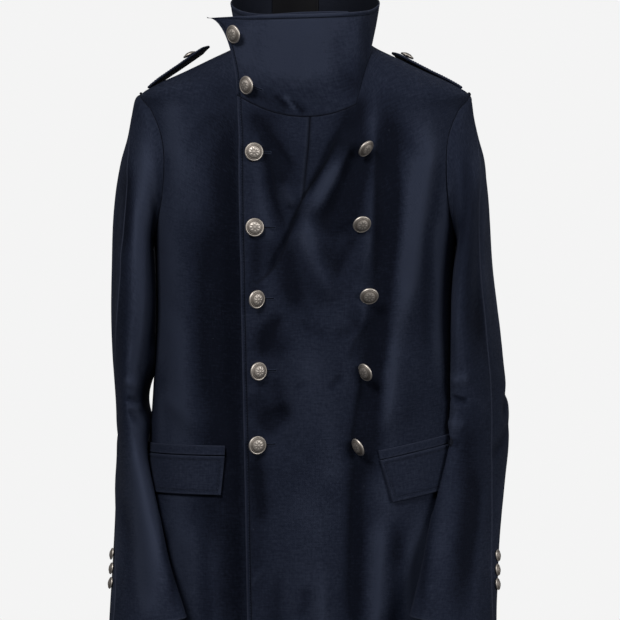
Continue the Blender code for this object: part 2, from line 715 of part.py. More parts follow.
def make_strap(side, material):
    """A shoulder strap, from the sleeve's seam to its pointed end beside the collar."""
    t = np.linspace(0, 1, STRAP_CELLS[0] + 1)[:, None]
    across = np.linspace(-1, 1, STRAP_CELLS[1] + 1)[None, :]
    inner_end = STRAP_INNER[side] + STRAP_POINT * np.abs(across)
    x = STRAP_OUTER + (inner_end - STRAP_OUTER) * t
    y = STRAP_HALF_WIDTH * across + 0 * x
    turn, height = shoulder_height(side * x, y)
    normal = body_normal(turn, height)
    flat, raised = STRAP_LIFT[side]
    lift = (flat + (raised - flat) * t**STRAP_RISE)[..., None]
    below = body_point(turn, height) + normal * lift
    above = below + STRAP_THICK * normal
    cloth_wall(f"epaulette_{'left' if side == LEFT else 'right'}", above, below, material)
    row, middle = STRAP_BUTTON_ROW[side], STRAP_CELLS[1] // 2
    return above[row, middle], normal[row, middle]


def on_front(side, x, z, lift):
    """Points at x and z on a front's surface, moved out by a lift, and the outward directions."""
    turn = turn_of_x(x, z)
    normal = body_normal(turn, z)
    return body_point(turn, z, side == LEFT) + normal * np.asarray(lift)[..., None], normal


def make_patch(name, side, corners, cells, lift, thick, material):
    """A flat piece on a front, from the ends of its top edge and of its foot."""
    s = np.linspace(0, 1, cells[0] + 1)[None, :]
    t = np.linspace(0, 1, cells[1] + 1)[:, None]
    (top_in, top_out), (foot_in, foot_out) = corners["top"], corners["foot"]
    ends = [np.array(pair, float) for pair in (top_in, top_out, foot_in, foot_out)]
    spread = np.sin(s * np.pi / 2) ** FLAP_SPREAD
    x, z = (
        (1 - t) * (ends[0][i] + (ends[1][i] - ends[0][i]) * spread)
        + t * (ends[2][i] + (ends[3][i] - ends[2][i]) * spread)
        for i in range(2)
    )
    below, normal = on_front(side, x, z, lift + 0 * x)
    cloth_wall(name, below + thick * normal, below, material)


def make_pockets(side, material):
    """A flap and the welt above it."""
    name = "left" if side == LEFT else "right"
    make_patch(f"pocket_flap_{name}", side, FLAPS[side], FLAP_CELLS, ON_PANEL, CLOTH, material)
    make_patch(f"pocket_welt_{name}", side, WELTS[side], WELT_CELLS, ON_PANEL, WELT_THICK, material)


def make_label(material):
    """The patch inside the back of the collar."""
    x = np.linspace(LABEL["from_x"], LABEL["to_x"], LABEL_CELLS[0] + 1)[None, :]
    rise = np.linspace(0, 1, LABEL_CELLS[1] + 1)[:, None]
    height = LABEL["foot"] + (LABEL["top"] - LABEL["foot"]) * rise
    around = np.full(np.broadcast(x, rise).shape, -180.0)
    up = np.full(around.shape, 0.5)
    for _ in range(LABEL_SEARCH):
        point = collar_point(around, up)
        around = around + np.degrees((point[..., 0] - x) / COLLAR_BACK_REACH)
        up = up + (height - point[..., 2]) / COLLAR_BACK_HEIGHT
    normal = collar_normal(around, up)
    back = collar_point(around, up) - normal * (CLOTH + LABEL_OFF)
    cloth_wall("neck_label", back, back - LABEL_THICK * normal, material)


def add_button(name, place, direction, width, mesh, lean=(0, 0), off=BUTTON_OFF):
    """A turned button on a shank, its lowest point just off the cloth however it leans."""
    side, down = (math.radians(value) for value in lean)
    direction = Vector(direction)
    across = Vector((0, 0, 1)).cross(direction).normalized()
    upward = direction.cross(across)
    axis = (direction + across * math.tan(side) - upward * math.tan(down)).normalized()
    tilt = axis.angle(direction)
    lowest = min(z * math.cos(tilt) - r * math.sin(tilt) for r, z in BUTTON_SECTION) * width
    made = bpy.data.objects.new(name, mesh)
    made.location = (Vector(place) + direction * (off - lowest)) * MM
    made.rotation_mode = "QUATERNION"
    made.rotation_quaternion = axis.to_track_quat("Z", "Y")
    made.scale = (width * MM,) * 3
    turned = made.modifiers.new("turned", "SCREW")
    turned.steps = turned.render_steps = BUTTON_STEPS
    turned.use_merge_vertices = True
    turned.merge_threshold = BUTTON_MERGE
    coat.objects.link(made)


def button_mesh(material):
    """The button's half section, which a Screw modifier turns."""
    mesh = bpy.data.meshes.new("button_section")
    points = [(r, 0, z) for r, z in BUTTON_SECTION]
    mesh.from_pydata(points, [(i, i + 1) for i in range(len(points) - 1)], [])
    mesh.materials.append(material)
    return mesh


def make_buttons(material, strap_places):
    """Both front columns, the collar's two, the straps' and the cuffs'."""
    mesh = button_mesh(material)
    for name, rows in (("right", RIGHT_BUTTONS), ("left", LEFT_BUTTONS)):
        for number, (x, z, lean_side, lean_down, off) in enumerate(rows, 1):
            point, normal = on_front(LEFT, np.array(float(x)), np.array(float(z)), 0.0)
            full_name = f"button_front_{name}_{number}"
            add_button(full_name, point, normal, BUTTON_WIDE, mesh, (lean_side, lean_down), off)
    for number, (around, up) in enumerate(COLLAR_BUTTONS, 1):
        around, up = np.array(float(around)), np.array(float(up))
        point, normal = collar_point(around, up), collar_normal(around, up)
        add_button(f"button_collar_{number}", point, normal, BUTTON_WIDE, mesh)
    for side, name in ((LEFT, "left"), (RIGHT, "right")):
        point, normal = strap_places[side]
        add_button(f"button_epaulette_{name}", point, normal, BUTTON_STRAP, mesh)
        for number, stop in enumerate(CUFF_BUTTON_STOPS, 1):
            stop = np.array(stop)
            behind = ring_sizes(side, stop)["seam"] - CUFF_BUTTON_BEHIND
            angle = np.radians(behind)
            point, normal = sleeve_point(side, stop, angle), sleeve_normal(side, stop, angle)
            add_button(f"button_cuff_{name}_{number}", point, normal, BUTTON_SMALL, mesh)


def make_material(name, colour, roughness, metallic):
    """A plain Principled material."""
    material = bpy.data.materials.new(name)
    material.use_nodes = True
    shader = material.node_tree.nodes["Principled BSDF"]
    shader.inputs["Base Color"].default_value = colour
    shader.inputs["Roughness"].default_value = roughness
    shader.inputs["Metallic"].default_value = metallic
    material.diffuse_color = colour
    return material


for old in list(bpy.data.objects):
    bpy.data.objects.remove(old, do_unlink=True)
coat = bpy.data.collections.new("pea_coat")
bpy.context.scene.collection.children.link(coat)
NECK_AROUND, NECK_POINTS, NECK_NORMALS = (line[::-1] for line in neck_line())

wool = make_material("navy_wool", NAVY, 0.62, 0.0)
satin = make_material("black_satin", BLACK, 0.5, 0.0)
silver = make_material("aged_silver", SILVER, 0.38, 0.9)
make_front(RIGHT, wool)
make_front(LEFT, wool)
make_back(wool)
make_collar(wool)
strap_places = {}
for which in (RIGHT, LEFT):
    make_sleeve(which, wool)
    strap_places[which] = make_strap(which, wool)
    make_pockets(which, wool)
make_label(satin)
make_buttons(silver, strap_places)
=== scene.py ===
"""The looks of a double-breasted pea coat: fine cloth, stitching and buttons laid over the solid model.

Sizes are in millimetres until a mesh is made. The coat faces -Y, +Z is up, and left is the wearer's,
on the +X side. A turn is an angle round the vertical axis, 0 in front and growing towards the left.
"""
import math

import bpy
import numpy as np
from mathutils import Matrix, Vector


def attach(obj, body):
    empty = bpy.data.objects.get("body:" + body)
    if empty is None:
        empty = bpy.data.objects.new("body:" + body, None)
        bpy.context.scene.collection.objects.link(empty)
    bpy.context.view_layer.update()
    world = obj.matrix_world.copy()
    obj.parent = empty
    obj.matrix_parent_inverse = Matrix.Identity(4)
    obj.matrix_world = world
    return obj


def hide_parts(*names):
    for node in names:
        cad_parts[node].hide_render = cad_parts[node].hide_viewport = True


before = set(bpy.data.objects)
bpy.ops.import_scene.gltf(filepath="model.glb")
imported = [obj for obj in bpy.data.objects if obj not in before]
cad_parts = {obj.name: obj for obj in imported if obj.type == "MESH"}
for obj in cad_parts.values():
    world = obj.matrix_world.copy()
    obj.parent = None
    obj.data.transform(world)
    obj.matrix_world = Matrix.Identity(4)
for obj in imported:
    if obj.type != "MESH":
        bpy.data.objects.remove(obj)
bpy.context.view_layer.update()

MM = 0.001
CLOTH = 2.4
# Sewn pieces overlap by 0.2 mm out of sight, and the collar's foot sinks in by 1.3 mm, so that no
# light shows through a seam.
SEAM = -0.2
COLLAR_SINK = 1.3
LEFT, RIGHT = 1, -1
SIDE_NAMES = {LEFT: "left", RIGHT: "right"}

# The body's level sections, one row for each height.
BODY_COLUMNS = ("height", "half_width", "front_depth", "back_depth", "squareness")
BODY_ROWS = (
    (14, 77, 68, 65, 2.6),
    (5, 84.5, 74, 68, 2.5),
    (-15, 124, 80, 80, 2.4),
    (-30, 156, 84, 88, 2.3),
    (-45, 189, 89, 95, 2.3),
    (-56, 208, 93, 99, 2.3),
    (-80, 208, 100, 106, 2.3),
    (-110, 206, 107, 112, 2.3),
    (-155, 203, 115, 118, 2.3),
    (-200, 197, 120, 120, 2.3),
    (-250, 192, 122, 118, 2.3),
    (-320, 190, 122, 113, 2.3),
    (-435, 194, 121, 108, 2.3),
    (-540, 202, 124, 116, 2.3),
    (-640, 210, 127, 125, 2.3),
    (-820, 224, 133, 134, 2.3),
)
HEM = -820
NECK_SIDE = (84.5, 5.0)
SHOULDER_TIP = (208.0, -56.0)
ARMHOLE_MIDDLE = -153
ARMHOLE_HALF_HEIGHT = 97
ARMHOLE_HALF_DEPTH = 66
NECK_FRONT = -94.5
NECK_FRONT_RISE = 15.3
NECK_BACK = 12.5
NECK_POWER = 3.8
SIDE_POWER = 1.6
BACK_POWER = 1.8
OVERLAP = 62
OVER_LIFT = 3.2
OVER_FADE = (64, 80)
EDGE_LIFT = 1.2
EDGE_FADE = (-48, -66)
# How far the right front sinks under the left one, and from which x on.
UNDER_SINK, UNDER_SINK_FROM, UNDER_SINK_FADE = 0.9, -74, 16
FRONT_EDGE_TOP = (-83.5, -66)
FRONT_EDGE_FOOT = (-70, -720)

# The largest folds, straight, as the eye in front or behind sees them: top_x, top_z, foot_x,
# foot_z, half_width and depth.
FRONT_FOLDS = (
    (52, -92, -6, -200, 17, -5.5),
    (-2, -188, -60, -306, 16, -5.5),
    (62, -104, 0, -232, 15, 4.5),
    (-4, -216, 30, -330, 18, 4.5),
    (-70, -84, -22, -268, 17, -5.0),
    (52, -140, 42, -300, 20, -6.0),
    (77, -100, 74, -380, 15, 3.5),
    (152, -100, 122, -370, 24, 5.5),
    (122, -350, 84, -800, 22, 6.0),
    (106, -150, 50, -800, 17, -5.5),
    (-150, -130, -148, -800, 26, 4.5),
    (-98, -150, -92, -800, 17, -5.0),
    (12, -340, 8, -800, 26, 5.5),
    (-36, -370, -30, -520, 14, -4.0),
)
BACK_FOLDS = (
    (0, -180, 0, -800, 22, -5.0),
    (-120, -130, -96, -790, 28, 5.0),
    (118, -150, 100, -800, 26, 5.0),
    (62, -330, 52, -800, 20, -4.5),
    (-58, -360, -50, -800, 20, -4.5),
)
# The share of its length over which a fold or crease fades at each end, and how far from straight
# out at the side, as a cosine, the front's and the back's begin.
FOLD_FADE, CREASE_FADE, FACING_FADE = 0.22, 0.3, 0.3
# Where the body lies flat under the pocket flaps: from x, over heights, fading.
FLAT_FROM = (58, 84)
FLAT_ZONE = (-625, -450)
FLAT_FADE = 45
FLAT_SHARE = 0.88

# The finer creases: top_x, top_z, foot_x, foot_z, bow, half_width, lean and depth. Each bends
# sideways by its bow and is wider on one side by its lean.
FRONT_CREASES = (
    (50, -104, 0, -202, 0, 4.6, 0.3, -3.4),
    (1, -199, -54, -297, -2.5, 4.6, 0.3, -3.0),
    (57, -112, 1, -224, -5, 8.0, 0.0, 3.4),
    (1, -212, 36, -324, 6.5, 9.0, 0.0, 2.9),
    (72, -128, 22, -240, -3, 13.0, 0.0, -4.2),
    (68, -238, 35, -296, 0, 7.0, 0.2, -2.2),
    (87, -62, 77, -302, 3, 6.5, 0.0, 2.6),
    (78, -300, 70, -362, 0, 6.0, 0.0, 1.6),
    (105, -104, 98, -370, 0, 12.0, 0.0, -2.8),
    (157, -84, 115, -370, 0, 11.0, 0.0, 2.6),
    (-48, -112, -23, -248, 8, 8.0, 0.2, -3.2),
    (-24, -238, -6, -338, 0, 10.0, 0.0, -2.4),
    (-59, -92, -38, -270, 7, 8.0, 0.0, 1.8),
    (-71, -82, -8, -168, 2, 8.0, 0.2, -3.0),
    (-27, -174, -14, -208, 0, 7.0, 0.0, 2.4),
    (-28, -336, -57, -396, 3, 9.0, 0.0, -3.2),
    (-58, -480, -14, -454, -3, 10.0, 0.0, -3.2),
    (-44, -412, -28, -474, -3, 11.0, 0.0, -1.8),
    (-64, -508, -52, -604, -2, 9.0, 0.0, -2.8),
    (82, -342, 56, -400, -2, 8.0, 0.0, -1.4),
    (77, -414, 61, -524, 2, 8.0, 0.0, -3.0),
    (68, -500, 60, -740, 1, 11.0, 0.0, -2.8),
    (90, -372, 88, -498, 0, 6.0, 0.0, -2.0),
    (82, -425, 68, -580, 0, 2.6, 0.0, 1.0),
    (112, -350, 84, -560, 0, 9.0, 0.2, 2.8),
    (93, -525, 80, -760, 0, 9.0, 0.2, 2.8),
    (114, -576, 112, -780, 2, 12.0, 0.0, -2.4),
    (170, -125, 158, -340, 3, 12.0, 0.0, -0.9),
    (-47, -648, -66, -676, 1, 2.8, 0.3, 1.3),
    (3, -670, -4, -716, 0, 7.0, 0.0, -1.7),
    (22, -640, 26, -790, 3, 8.0, 0.2, 1.5),
    (-30, -650, -36, -790, 3, 9.0, 0.2, -1.8),
    (-13, -431, 6, -422, 0, 2.4, 0.0, -0.8),
    (46, -411, 28, -432, 0, 4.0, 0.0, -1.4),
    (-9, -348, 32, -368, 2, 6.0, 0.0, -1.2),
    (31, -368, 74, -346, 2, 6.0, 0.0, -1.3),
    (-118, -200, -122, -470, 6, 12.0, 0.2, -1.4),
    (-150, -96, -164, -330, 6, 13.0, 0.0, 1.8),
    (-164, -330, -158, -480, -4, 12.0, 0.0, 1.8),
    (-176, -430, -128, -486, 3, 9.0, 0.0, 1.2),
    (-112, -590, -98, -800, 5, 9.0, 0.3, 1.6),
    (-168, -570, -176, -800, 6, 12.0, 0.2, -2.2),
    (-134, -575, -128, -800, 3, 10.0, 0.2, 1.6),
    (132, -590, 128, -800, 4, 10.0, 0.2, 1.4),
    (170, -570, 172, -800, -6, 12.0, 0.2, 2.0),
    (112, -92, 150, -150, 4, 12.0, 0.2, -1.4),
    (-112, -88, -152, -150, 4, 12.0, 0.2, -1.4),
)
# What only the right front has: it sinks in beside the left one's edge.
UNDER_CREASES = (
    (-80, -60, -76, -560, 0, 30.0, 0.0, -8.0),
    (-78, -480, -72, -800, 0, 22.0, 0.0, -4.5),
)
# Painted shading on the fronts: zones where the cloth's colour is made paler, as painted
# light, or darker, as painted shade: the creases' columns, with a share from -1 to 1 in the
# place of the depth.
FRONT_PAINTED_SHADING = (
    (113, -150, 113, -280, 0, 11.0, 0.0, -0.45),
    (96, -345, 98, -410, 0, 10.0, 0.0, -0.5),
    (113, -585, 113, -650, 0, 11.0, 0.0, -0.5),
    (168, -205, 166, -430, 0, 7.0, 0.0, 0.8),
    (168, -215, 168, -300, 0, 6.0, 0.0, 0.5),
    (150, -200, 150, -410, 0, 6.0, 0.0, -0.45),
    (132, -640, 132, -720, 0, 8.0, 0.0, 0.7),
    (36, -170, 36, -300, 0, 8.0, 0.0, -0.3),
    (-56, -70, -16, -206, 4, 17.0, 0.0, -1.0),
    (-42, -236, -8, -344, 2, 11.0, 0.0, -0.6),
    (80, -104, 34, -250, -6, 24.0, 0.0, -1.1),
    (66, -60, 46, -170, 0, 16.0, 0.0, -1.5),
    (103, -56, 100, -350, 0, 14.0, 0.0, -1.4),
    (99, -300, 75, -550, 0, 16.0, 0.0, -1.5),
    (10, -180, 30, -330, 0, 38.0, 0.0, -0.35),
    (-60, -230, -62, -336, 0, 9.0, 0.0, -0.7),
    (-60, -350, -20, -388, 0, 13.0, 0.0, -0.65),
    (-66, -430, -30, -486, 3, 15.0, 0.0, -0.65),
    (70, -330, 52, -348, 0, 12.0, 0.0, -0.4),
    (84, -360, 78, -470, 0, 12.0, 0.0, -0.45),
    (69, -450, 62, -780, 1, 12.0, 0.0, -0.75),
    (-66, -470, -58, -700, 0, 14.0, 0.0, -0.45),
    (30, -440, 32, -560, 0, 11.0, 0.0, 0.3),
    (146, -570, 142, -800, 0, 13.0, 0.0, 1.1),
    (12, -246, 24, -316, 0, 16.0, 0.0, -0.3),
    (-188, -400, -184, -800, 4, 18.0, 0.0, -0.4),
    (66, -112, -2, -206, -6, 8.0, 0.0, 0.6),
    (0, -204, 22, -310, 6, 9.0, 0.0, 0.4),
    (-140, -80, -132, -250, 4, 27.0, 0.0, 0.4),
    (149, -70, 88, -520, 0, 15.0, 0.0, 0.8),
    (158, -80, 150, -300, 0, 18.0, 0.0, 0.25),
    (179, -140, 176, -420, 0, 9.0, 0.0, 1.0),
    (-184, -150, -182, -420, 0, 9.0, 0.0, 1.0),
    (6, -370, 10, -500, 0, 18.0, 0.0, 0.3),
    (4, -520, 6, -780, 0, 26.0, 0.0, 0.3),
    (-52, -130, -48, -170, 0, 7.0, 0.0, 0.3),
    (104, -470, 96, -780, 0, 15.0, 0.0, 0.4),
)
# The same painted shading, only on the right front: painted shade beside and under the left front's
# edge, painted light towards its side.
UNDER_PAINTED_SHADING = (
    (-172, -225, -172, -400, 0, 10.0, 0.0, 0.5),
    (-181, -420, -181, -545, 0, 7.0, 0.0, 0.8),
    (-98, -30, -92, -580, 0, 21.0, 0.3, -1.3),
    (-88, -470, -82, -800, 0, 14.0, 0.3, -0.8),
    (-158, -230, -160, -760, 0, 20.0, 0.0, 0.8),
    (-168, -60, -166, -150, 0, 13.0, 0.0, 0.8),
    (-108, -240, -108, -470, 4, 22.0, 0.0, -0.5),
    (-116, -420, -112, -780, 0, 20.0, 0.0, -0.55),
)
# Painted light and shade on each sleeve, over x and z as the eye in front sees them.
SLEEVE_PAINTED_SHADING = {
    RIGHT: (
        (200, -84, 202, -430, 0, 14.0, 0.0, 0.8),
        (190, -140, 190, -370, 0, 10.0, 0.0, 0.8),
        (214, -360, 213, -480, 0, 8.0, 0.0, 0.8),
        (216, -440, 200, -716, 6, 15.0, 0.0, 0.75),
        (226, -110, 228, -300, 0, 9.0, 0.0, -0.4),
        (204, -195, 206, -290, 0, 8.0, 0.0, 0.8),
        (194, -560, 188, -720, 0, 14.0, 0.0, 0.7),
        (184, -130, 182, -420, 0, 4.0, 0.0, -0.6),
        (184, -500, 158, -716, 4, 6.0, 0.0, -0.8),
    ),
    LEFT: (
        (181, -150, 181, -380, 0, 8.0, 0.0, 0.5),
        (199, -100, 200, -400, 0, 8.0, 0.0, -0.7),
        (219, -110, 223, -340, 0, 11.0, 0.0, 0.8),
        (238, -250, 242, -360, 0, 9.0, 0.0, 0.8),
        (184, -380, 186, -540, 0, 9.0, 0.0, 0.5),
        (206, -440, 192, -740, 0, 18.0, 0.0, -0.8),
        (158, -540, 140, -716, 0, 5.0, 0.0, -0.6),
        (212, -520, 208, -720, 0, 11.0, 0.0, -0.8),
    ),
}
# Painted light and shade on the collar: painted light over its front, painted shade towards the
# wearer's left end, and both along its small creases.
COLLAR_PAINTED_SHADING = (
    (-10, 70, -16, -60, 0, 56.0, 0.0, 1.2),
    (44, 70, 40, -50, 0, 22.0, 0.0, 0.3),
    (74, 50, 66, -86, 0, 13.0, 0.0, -0.6),
    (-76, -56, -14, -92, 0, 8.0, 0.0, -0.5),
    (-38, -66, -19, -84, 0, 2.6, 0.0, -0.8),
    (-28, -66, -8, -88, 0, 2.8, 0.0, 0.9),
    (-19, -72, 1, -92, 0, 2.6, 0.0, -1.0),
)
# How much of the finer creases' relief is also painted into the colour: painted light on their ridges,
# painted shade in their hollows.
RELIEF_PAINTED_SHADING = 0.22
# Creases so sharp that they show as dark lines on the left front, sunk in a little and darkened
# with painted shade: points of x, z and strength from their upper ends down.
SHARP_LINES = {
    "sewn dart": ((6.4, -95, 1.0), (4.4, -132, 1.0), (-1.8, -193, 0.8)),
    "crossing fold": (
        (48, -103, 0.0), (36, -127, 0.7), (27, -148, 1.0), (-2, -194, 1.0),
        (-16, -226, 0.7), (-30, -271, 0.45), (-47, -290, 0.7), (-60, -301, 0.4),
    ),
    "fold from the top button": ((-38, -140, 0.0), (-27, -176, 0.4), (-17, -204, 0.0)),
    "fold under the second button": ((-24, -330, 0.0), (-40, -362, 0.5), (-57, -394, 0.0)),
    "fold by the fourth button": ((52, -402, 0.0), (62, -372, 0.5), (76, -350, 0.0)),
}
LINE_WIDTH, LINE_DEPTH = 2.0, 0.6
# Beside the dart, a low ridge lightened with a painted highlight: its place aside, width, rise and
# paleness.
DART_RIDGE = {"aside": -3.0, "width": 1.5, "rise": 0.25, "pale": 0.4}
FRONT_STRENGTH = 1.3
BACK_CREASES = (
    (150, -210, 40, -330, 10, 10.0, 0.3, -2.2),
    (-150, -216, -44, -322, -10, 11.0, 0.3, -2.2),
    (128, -262, 30, -372, 8, 8.0, 0.2, 1.5),
    (-132, -270, -22, -380, -8, 8.0, 0.2, 1.5),
    (96, -20, 10, -60, 5, 9.0, 0.2, -1.5),
    (-92, -22, -12, -66, -5, 9.0, 0.2, -1.5),
    (22, -392, 30, -800, 7, 9.0, 0.3, 1.8),
    (-24, -440, -36, -790, -5, 8.0, 0.3, 1.7),
    (138, -470, 142, -800, 6, 11.0, 0.2, -2.4),
    (-142, -500, -150, -800, -6, 12.0, 0.2, -2.2),
    (172, -320, 168, -560, 5, 10.0, 0.2, 1.7),
    (-174, -300, -166, -590, 5, 10.0, 0.2, 1.7),
    (86, -610, 80, -800, -4, 8.0, 0.3, 1.8),
    (-84, -580, -78, -800, 4, 8.0, 0.3, 1.8),
)

# A panel's rows, in nominal millimetres up its side: the side seam, half the armhole, the shoulder.
ROW_MARKS = (0, 540, 684, 740)
ROW_CELLS = (0, 14, 23, 27)
ROW_STOPS_FRONT = (HEM, -280, -146, NECK_FRONT)
ROW_STOPS_BACK = (HEM, -256, -60, NECK_BACK)
NECK_ROWS = 8
EARLY_ROWS = (17, 10)
MIDDLE_MM = {LEFT: 146, RIGHT: 124}
WRAP_MM = 200
BACK_MM = 500

SLEEVE_COLUMNS = (
    "outer_x", "outer_z", "inner_x", "inner_z", "middle_y", "long_half", "turn", "seam"
)
RIGHT_SLEEVE = (
    (208.0, -56, 192.0, -250, 0, 66.0, 0, 0),
    (215.5, -62, 192.6, -251.5, 0, 66.5, 0, 4),
    (220.5, -84, 193.0, -254, 0, 68.0, 0, 15),
    (226.0, -112, 192.0, -259, 0, 70.5, 0, 30),
    (234.5, -142, 190.0, -268, 0, 73.0, 0, 44),
    (241.0, -178, 187.5, -281, -1, 75.5, 0, 55),
    (245.0, -222, 185.5, -303, -2, 77.5, 0, 58),
    (246.5, -275, 185.0, -335, -2, 78.5, 0, 56),
    (247.5, -335, 188.5, -375, 0, 78.0, 0, 50),
    (246.0, -390, 196.5, -415, 4, 76.0, 0, 38),
    (242.0, -450, 201.5, -455, 8, 74.0, 0, 20),
    (241.5, -500, 197.0, -500, 3, 72.0, 3, 6),
    (242.0, -550, 188.0, -548, -16, 69.0, 10, -4),
    (242.5, -598, 178.5, -598, -44, 66.0, 20, -12),
    (242.5, -645, 165.0, -648, -76, 62.0, 32, -22),
    (243.0, -690, 152.0, -685, -98, 60.0, 43, -30),
    (243.5, -722, 144.0, -708, -110, 60.0, 49, -36),
)
LEFT_SLEEVE = (
    (208.0, -56, 192.0, -250, 0, 66.0, 0, 0),
    (211.5, -63, 192.6, -251.5, 0, 66.5, 0, 4),
    (215.0, -86, 193.0, -254, 0, 68.0, 0, 15),
    (221.0, -112, 192.0, -259, 0, 70.5, 0, 28),
    (229.0, -142, 189.5, -268, 0, 73.0, 0, 38),
    (233.0, -178, 186.5, -281, -1, 75.5, 3, 42),
    (236.0, -222, 184.5, -303, -2, 77.0, 7, 36),
    (240.0, -275, 183.5, -335, -3, 77.0, 11, 30),
    (248.0, -335, 183.0, -375, -4, 76.0, 16, 24),
    (255.5, -395, 182.0, -418, -5, 74.5, 20, 22),
    (263.0, -455, 180.0, -460, -8, 73.0, 25, 22),
    (262.5, -505, 173.0, -502, -16, 71.0, 30, 14),
    (256.0, -552, 163.5, -548, -34, 69.0, 34, 0),
    (249.0, -598, 154.0, -598, -58, 66.0, 38, -12),
    (243.0, -645, 143.5, -648, -84, 65.0, 43, -24),
    (239.5, -690, 133.5, -685, -104, 64.0, 49, -34),
    (238.0, -722, 127.5, -706, -114, 64.0, 52, -40),
)
SLEEVE_MM = 690
SLEEVE_MARKS = (0, 6, 30, 58, 90, 126, 172, 226, 286, 346, 400, 452, 500, 548, 597, 645, 690)
SLEEVE_GIRTH = 190
CAP_FADE = 8
# How far the sleeves keep off the body, how far off it beside the pocket flaps and over which
# heights, and the row of their table from which on they keep off in full.
BODY_CLEARANCE = 4.0
FLAP_CLEARANCE = 8.5
FLAP_ZONE, FLAP_FADE = (-595, -475), 20
CLEAR_FROM = 3
# How the sleeves' creases fade: from one side of the sleeve to the next, towards the body, and by
# the armhole and the cuff, counted in the sleeve table's rows.
SIDE_FADE, INSIDE_FADE = 0.5, 0.6
BODY_SIDE, BODY_SIDE_FADE = -0.75, 0.35
CREASES_FROM, CREASES_FROM_FADE = 0.6, 2.4
CREASES_TO, CREASES_TO_FADE = 16, 0.8

# The sleeves' creases: which side of the sleeve has them (front, outside, back or inside), then the
# same columns as above, with y in the place of x on the outside and the inside.
SLEEVE_CREASES = {
    RIGHT: (
        ("front", (226, -445, 200, -448, -1, 3.8, 0.3, -3.2)),
        ("front", (226, -454, 203, -457, -1, 4.5, 0.0, 2.2)),
        ("front", (223, -450, 195, -490, -2, 5.0, 0.3, -3.2)),
        ("front", (228, -420, 204, -426, -2, 8.0, 0.0, 2.4)),
        ("front", (226, -146, 229, -268, 3, 10.0, 0.0, -2.8)),
        ("front", (200, -96, 204, -400, 4, 13.0, 0.2, 2.2)),
        ("front", (232, -250, 238, -430, 4, 8.0, 0.2, -1.8)),
        ("front", (190, -500, 167, -650, 2, 7.0, 0.2, -2.6)),
        ("inside", (60, -398, -60, -398, 0, 24.0, 0.0, 6.0)),
        ("inside", (60, -478, -80, -478, 0, 22.0, 0.0, 6.0)),
        ("front", (216, -480, 188, -716, 8, 15.0, 0.2, 1.8)),
        ("front", (232, -560, 226, -716, 4, 8.0, 0.2, -1.8)),
        ("outside", (-40, -150, -30, -420, 8, 10.0, 0.2, -2.4)),
        ("outside", (20, -130, 34, -430, 8, 12.0, 0.2, 2.2)),
        ("outside", (60, -440, -10, -470, 6, 9.0, 0.3, -3.2)),
        ("outside", (40, -474, -40, -520, 6, 9.0, 0.2, -2.4)),
        ("outside", (10, -520, -90, -700, 8, 11.0, 0.2, 2.0)),
        ("back", (228, -160, 222, -420, 5, 10.0, 0.2, -2.4)),
        ("back", (236, -432, 204, -452, 4, 8.0, 0.3, -3.2)),
        ("back", (236, -470, 206, -490, 4, 8.0, 0.2, 2.0)),
    ),
    LEFT: (
        ("front", (182, -441, 204, -446, 1, 3.8, 0.3, -3.8)),
        ("front", (181, -422, 206, -418, 0, 8.0, 0.0, 2.8)),
        ("front", (180, -468, 198, -482, 1, 8.0, 0.0, 2.2)),
        ("front", (176, -494, 194, -502, 1, 5.0, 0.2, -2.4)),
        ("front", (190, -106, 190, -420, -2, 9.0, 0.0, 2.8)),
        ("front", (211, -120, 216, -440, -4, 11.0, 0.0, -2.8)),
        ("front", (240, -330, 248, -600, -6, 8.0, 0.2, -2.2)),
        ("front", (200, -510, 165, -710, 6, 15.0, 0.2, 1.5)),
        ("front", (224, -540, 206, -716, 4, 9.0, 0.3, -2.4)),
        ("outside", (-44, -160, -40, -420, 8, 10.0, 0.2, -2.4)),
        ("outside", (16, -130, 26, -430, 8, 12.0, 0.2, 2.2)),
        ("outside", (56, -436, -20, -470, 6, 9.0, 0.3, -3.2)),
        ("outside", (36, -476, -50, -524, 6, 9.0, 0.2, -2.4)),
        ("outside", (0, -530, -90, -700, 8, 11.0, 0.2, 2.0)),
        ("back", (228, -160, 226, -420, 5, 10.0, 0.2, -2.4)),
        ("back", (244, -438, 204, -456, 4, 8.0, 0.3, -3.2)),
        ("back", (244, -474, 206, -496, 4, 8.0, 0.2, 2.0)),
    ),
}

# The collar, counted in degrees round the neck from the middle of the front.
COLLAR_COLUMNS = ("around", "top_reach", "top_height")
COLLAR_ROWS = (
    (33, 101, 39),
    (0, 103, 36),
    (-30, 104, 35),
    (-60, 99, 46),
    (-90, 95, 63),
    (-120, 88, 79),
    (-150, 81, 90),
    (-180, 78, 94),
    (-210, 81, 90),
    (-240, 88, 79),
    (-270, 95.5, 63),
    (-300, 98, 46),
    (-330, 101, 37),
    (-360, 103, 33),
    (-380, 107, 32.5),
    (-403, 126, 32),
)
COLLAR_LIFT = 4.2
COLLAR_LIFT_RANGE = (-290, -320)
COLLAR_TIP = (-122, -84, 30.5)
COLLAR_TIP_FROM = -372
COLLAR_TIP_POWER = 2.2
COLLAR_MM, COLLAR_STEP = 125, 3.0
# Where the outer lap begins, in degrees, and how far up the collar lies calm over its seam.
COLLAR_LAP_FROM, COLLAR_LAP_FADE = -300, 25
COLLAR_CALM = 0.06
# The soft waves round the collar: height, count and start.
COLLAR_WAVE = (0.7, 5, 1.0)
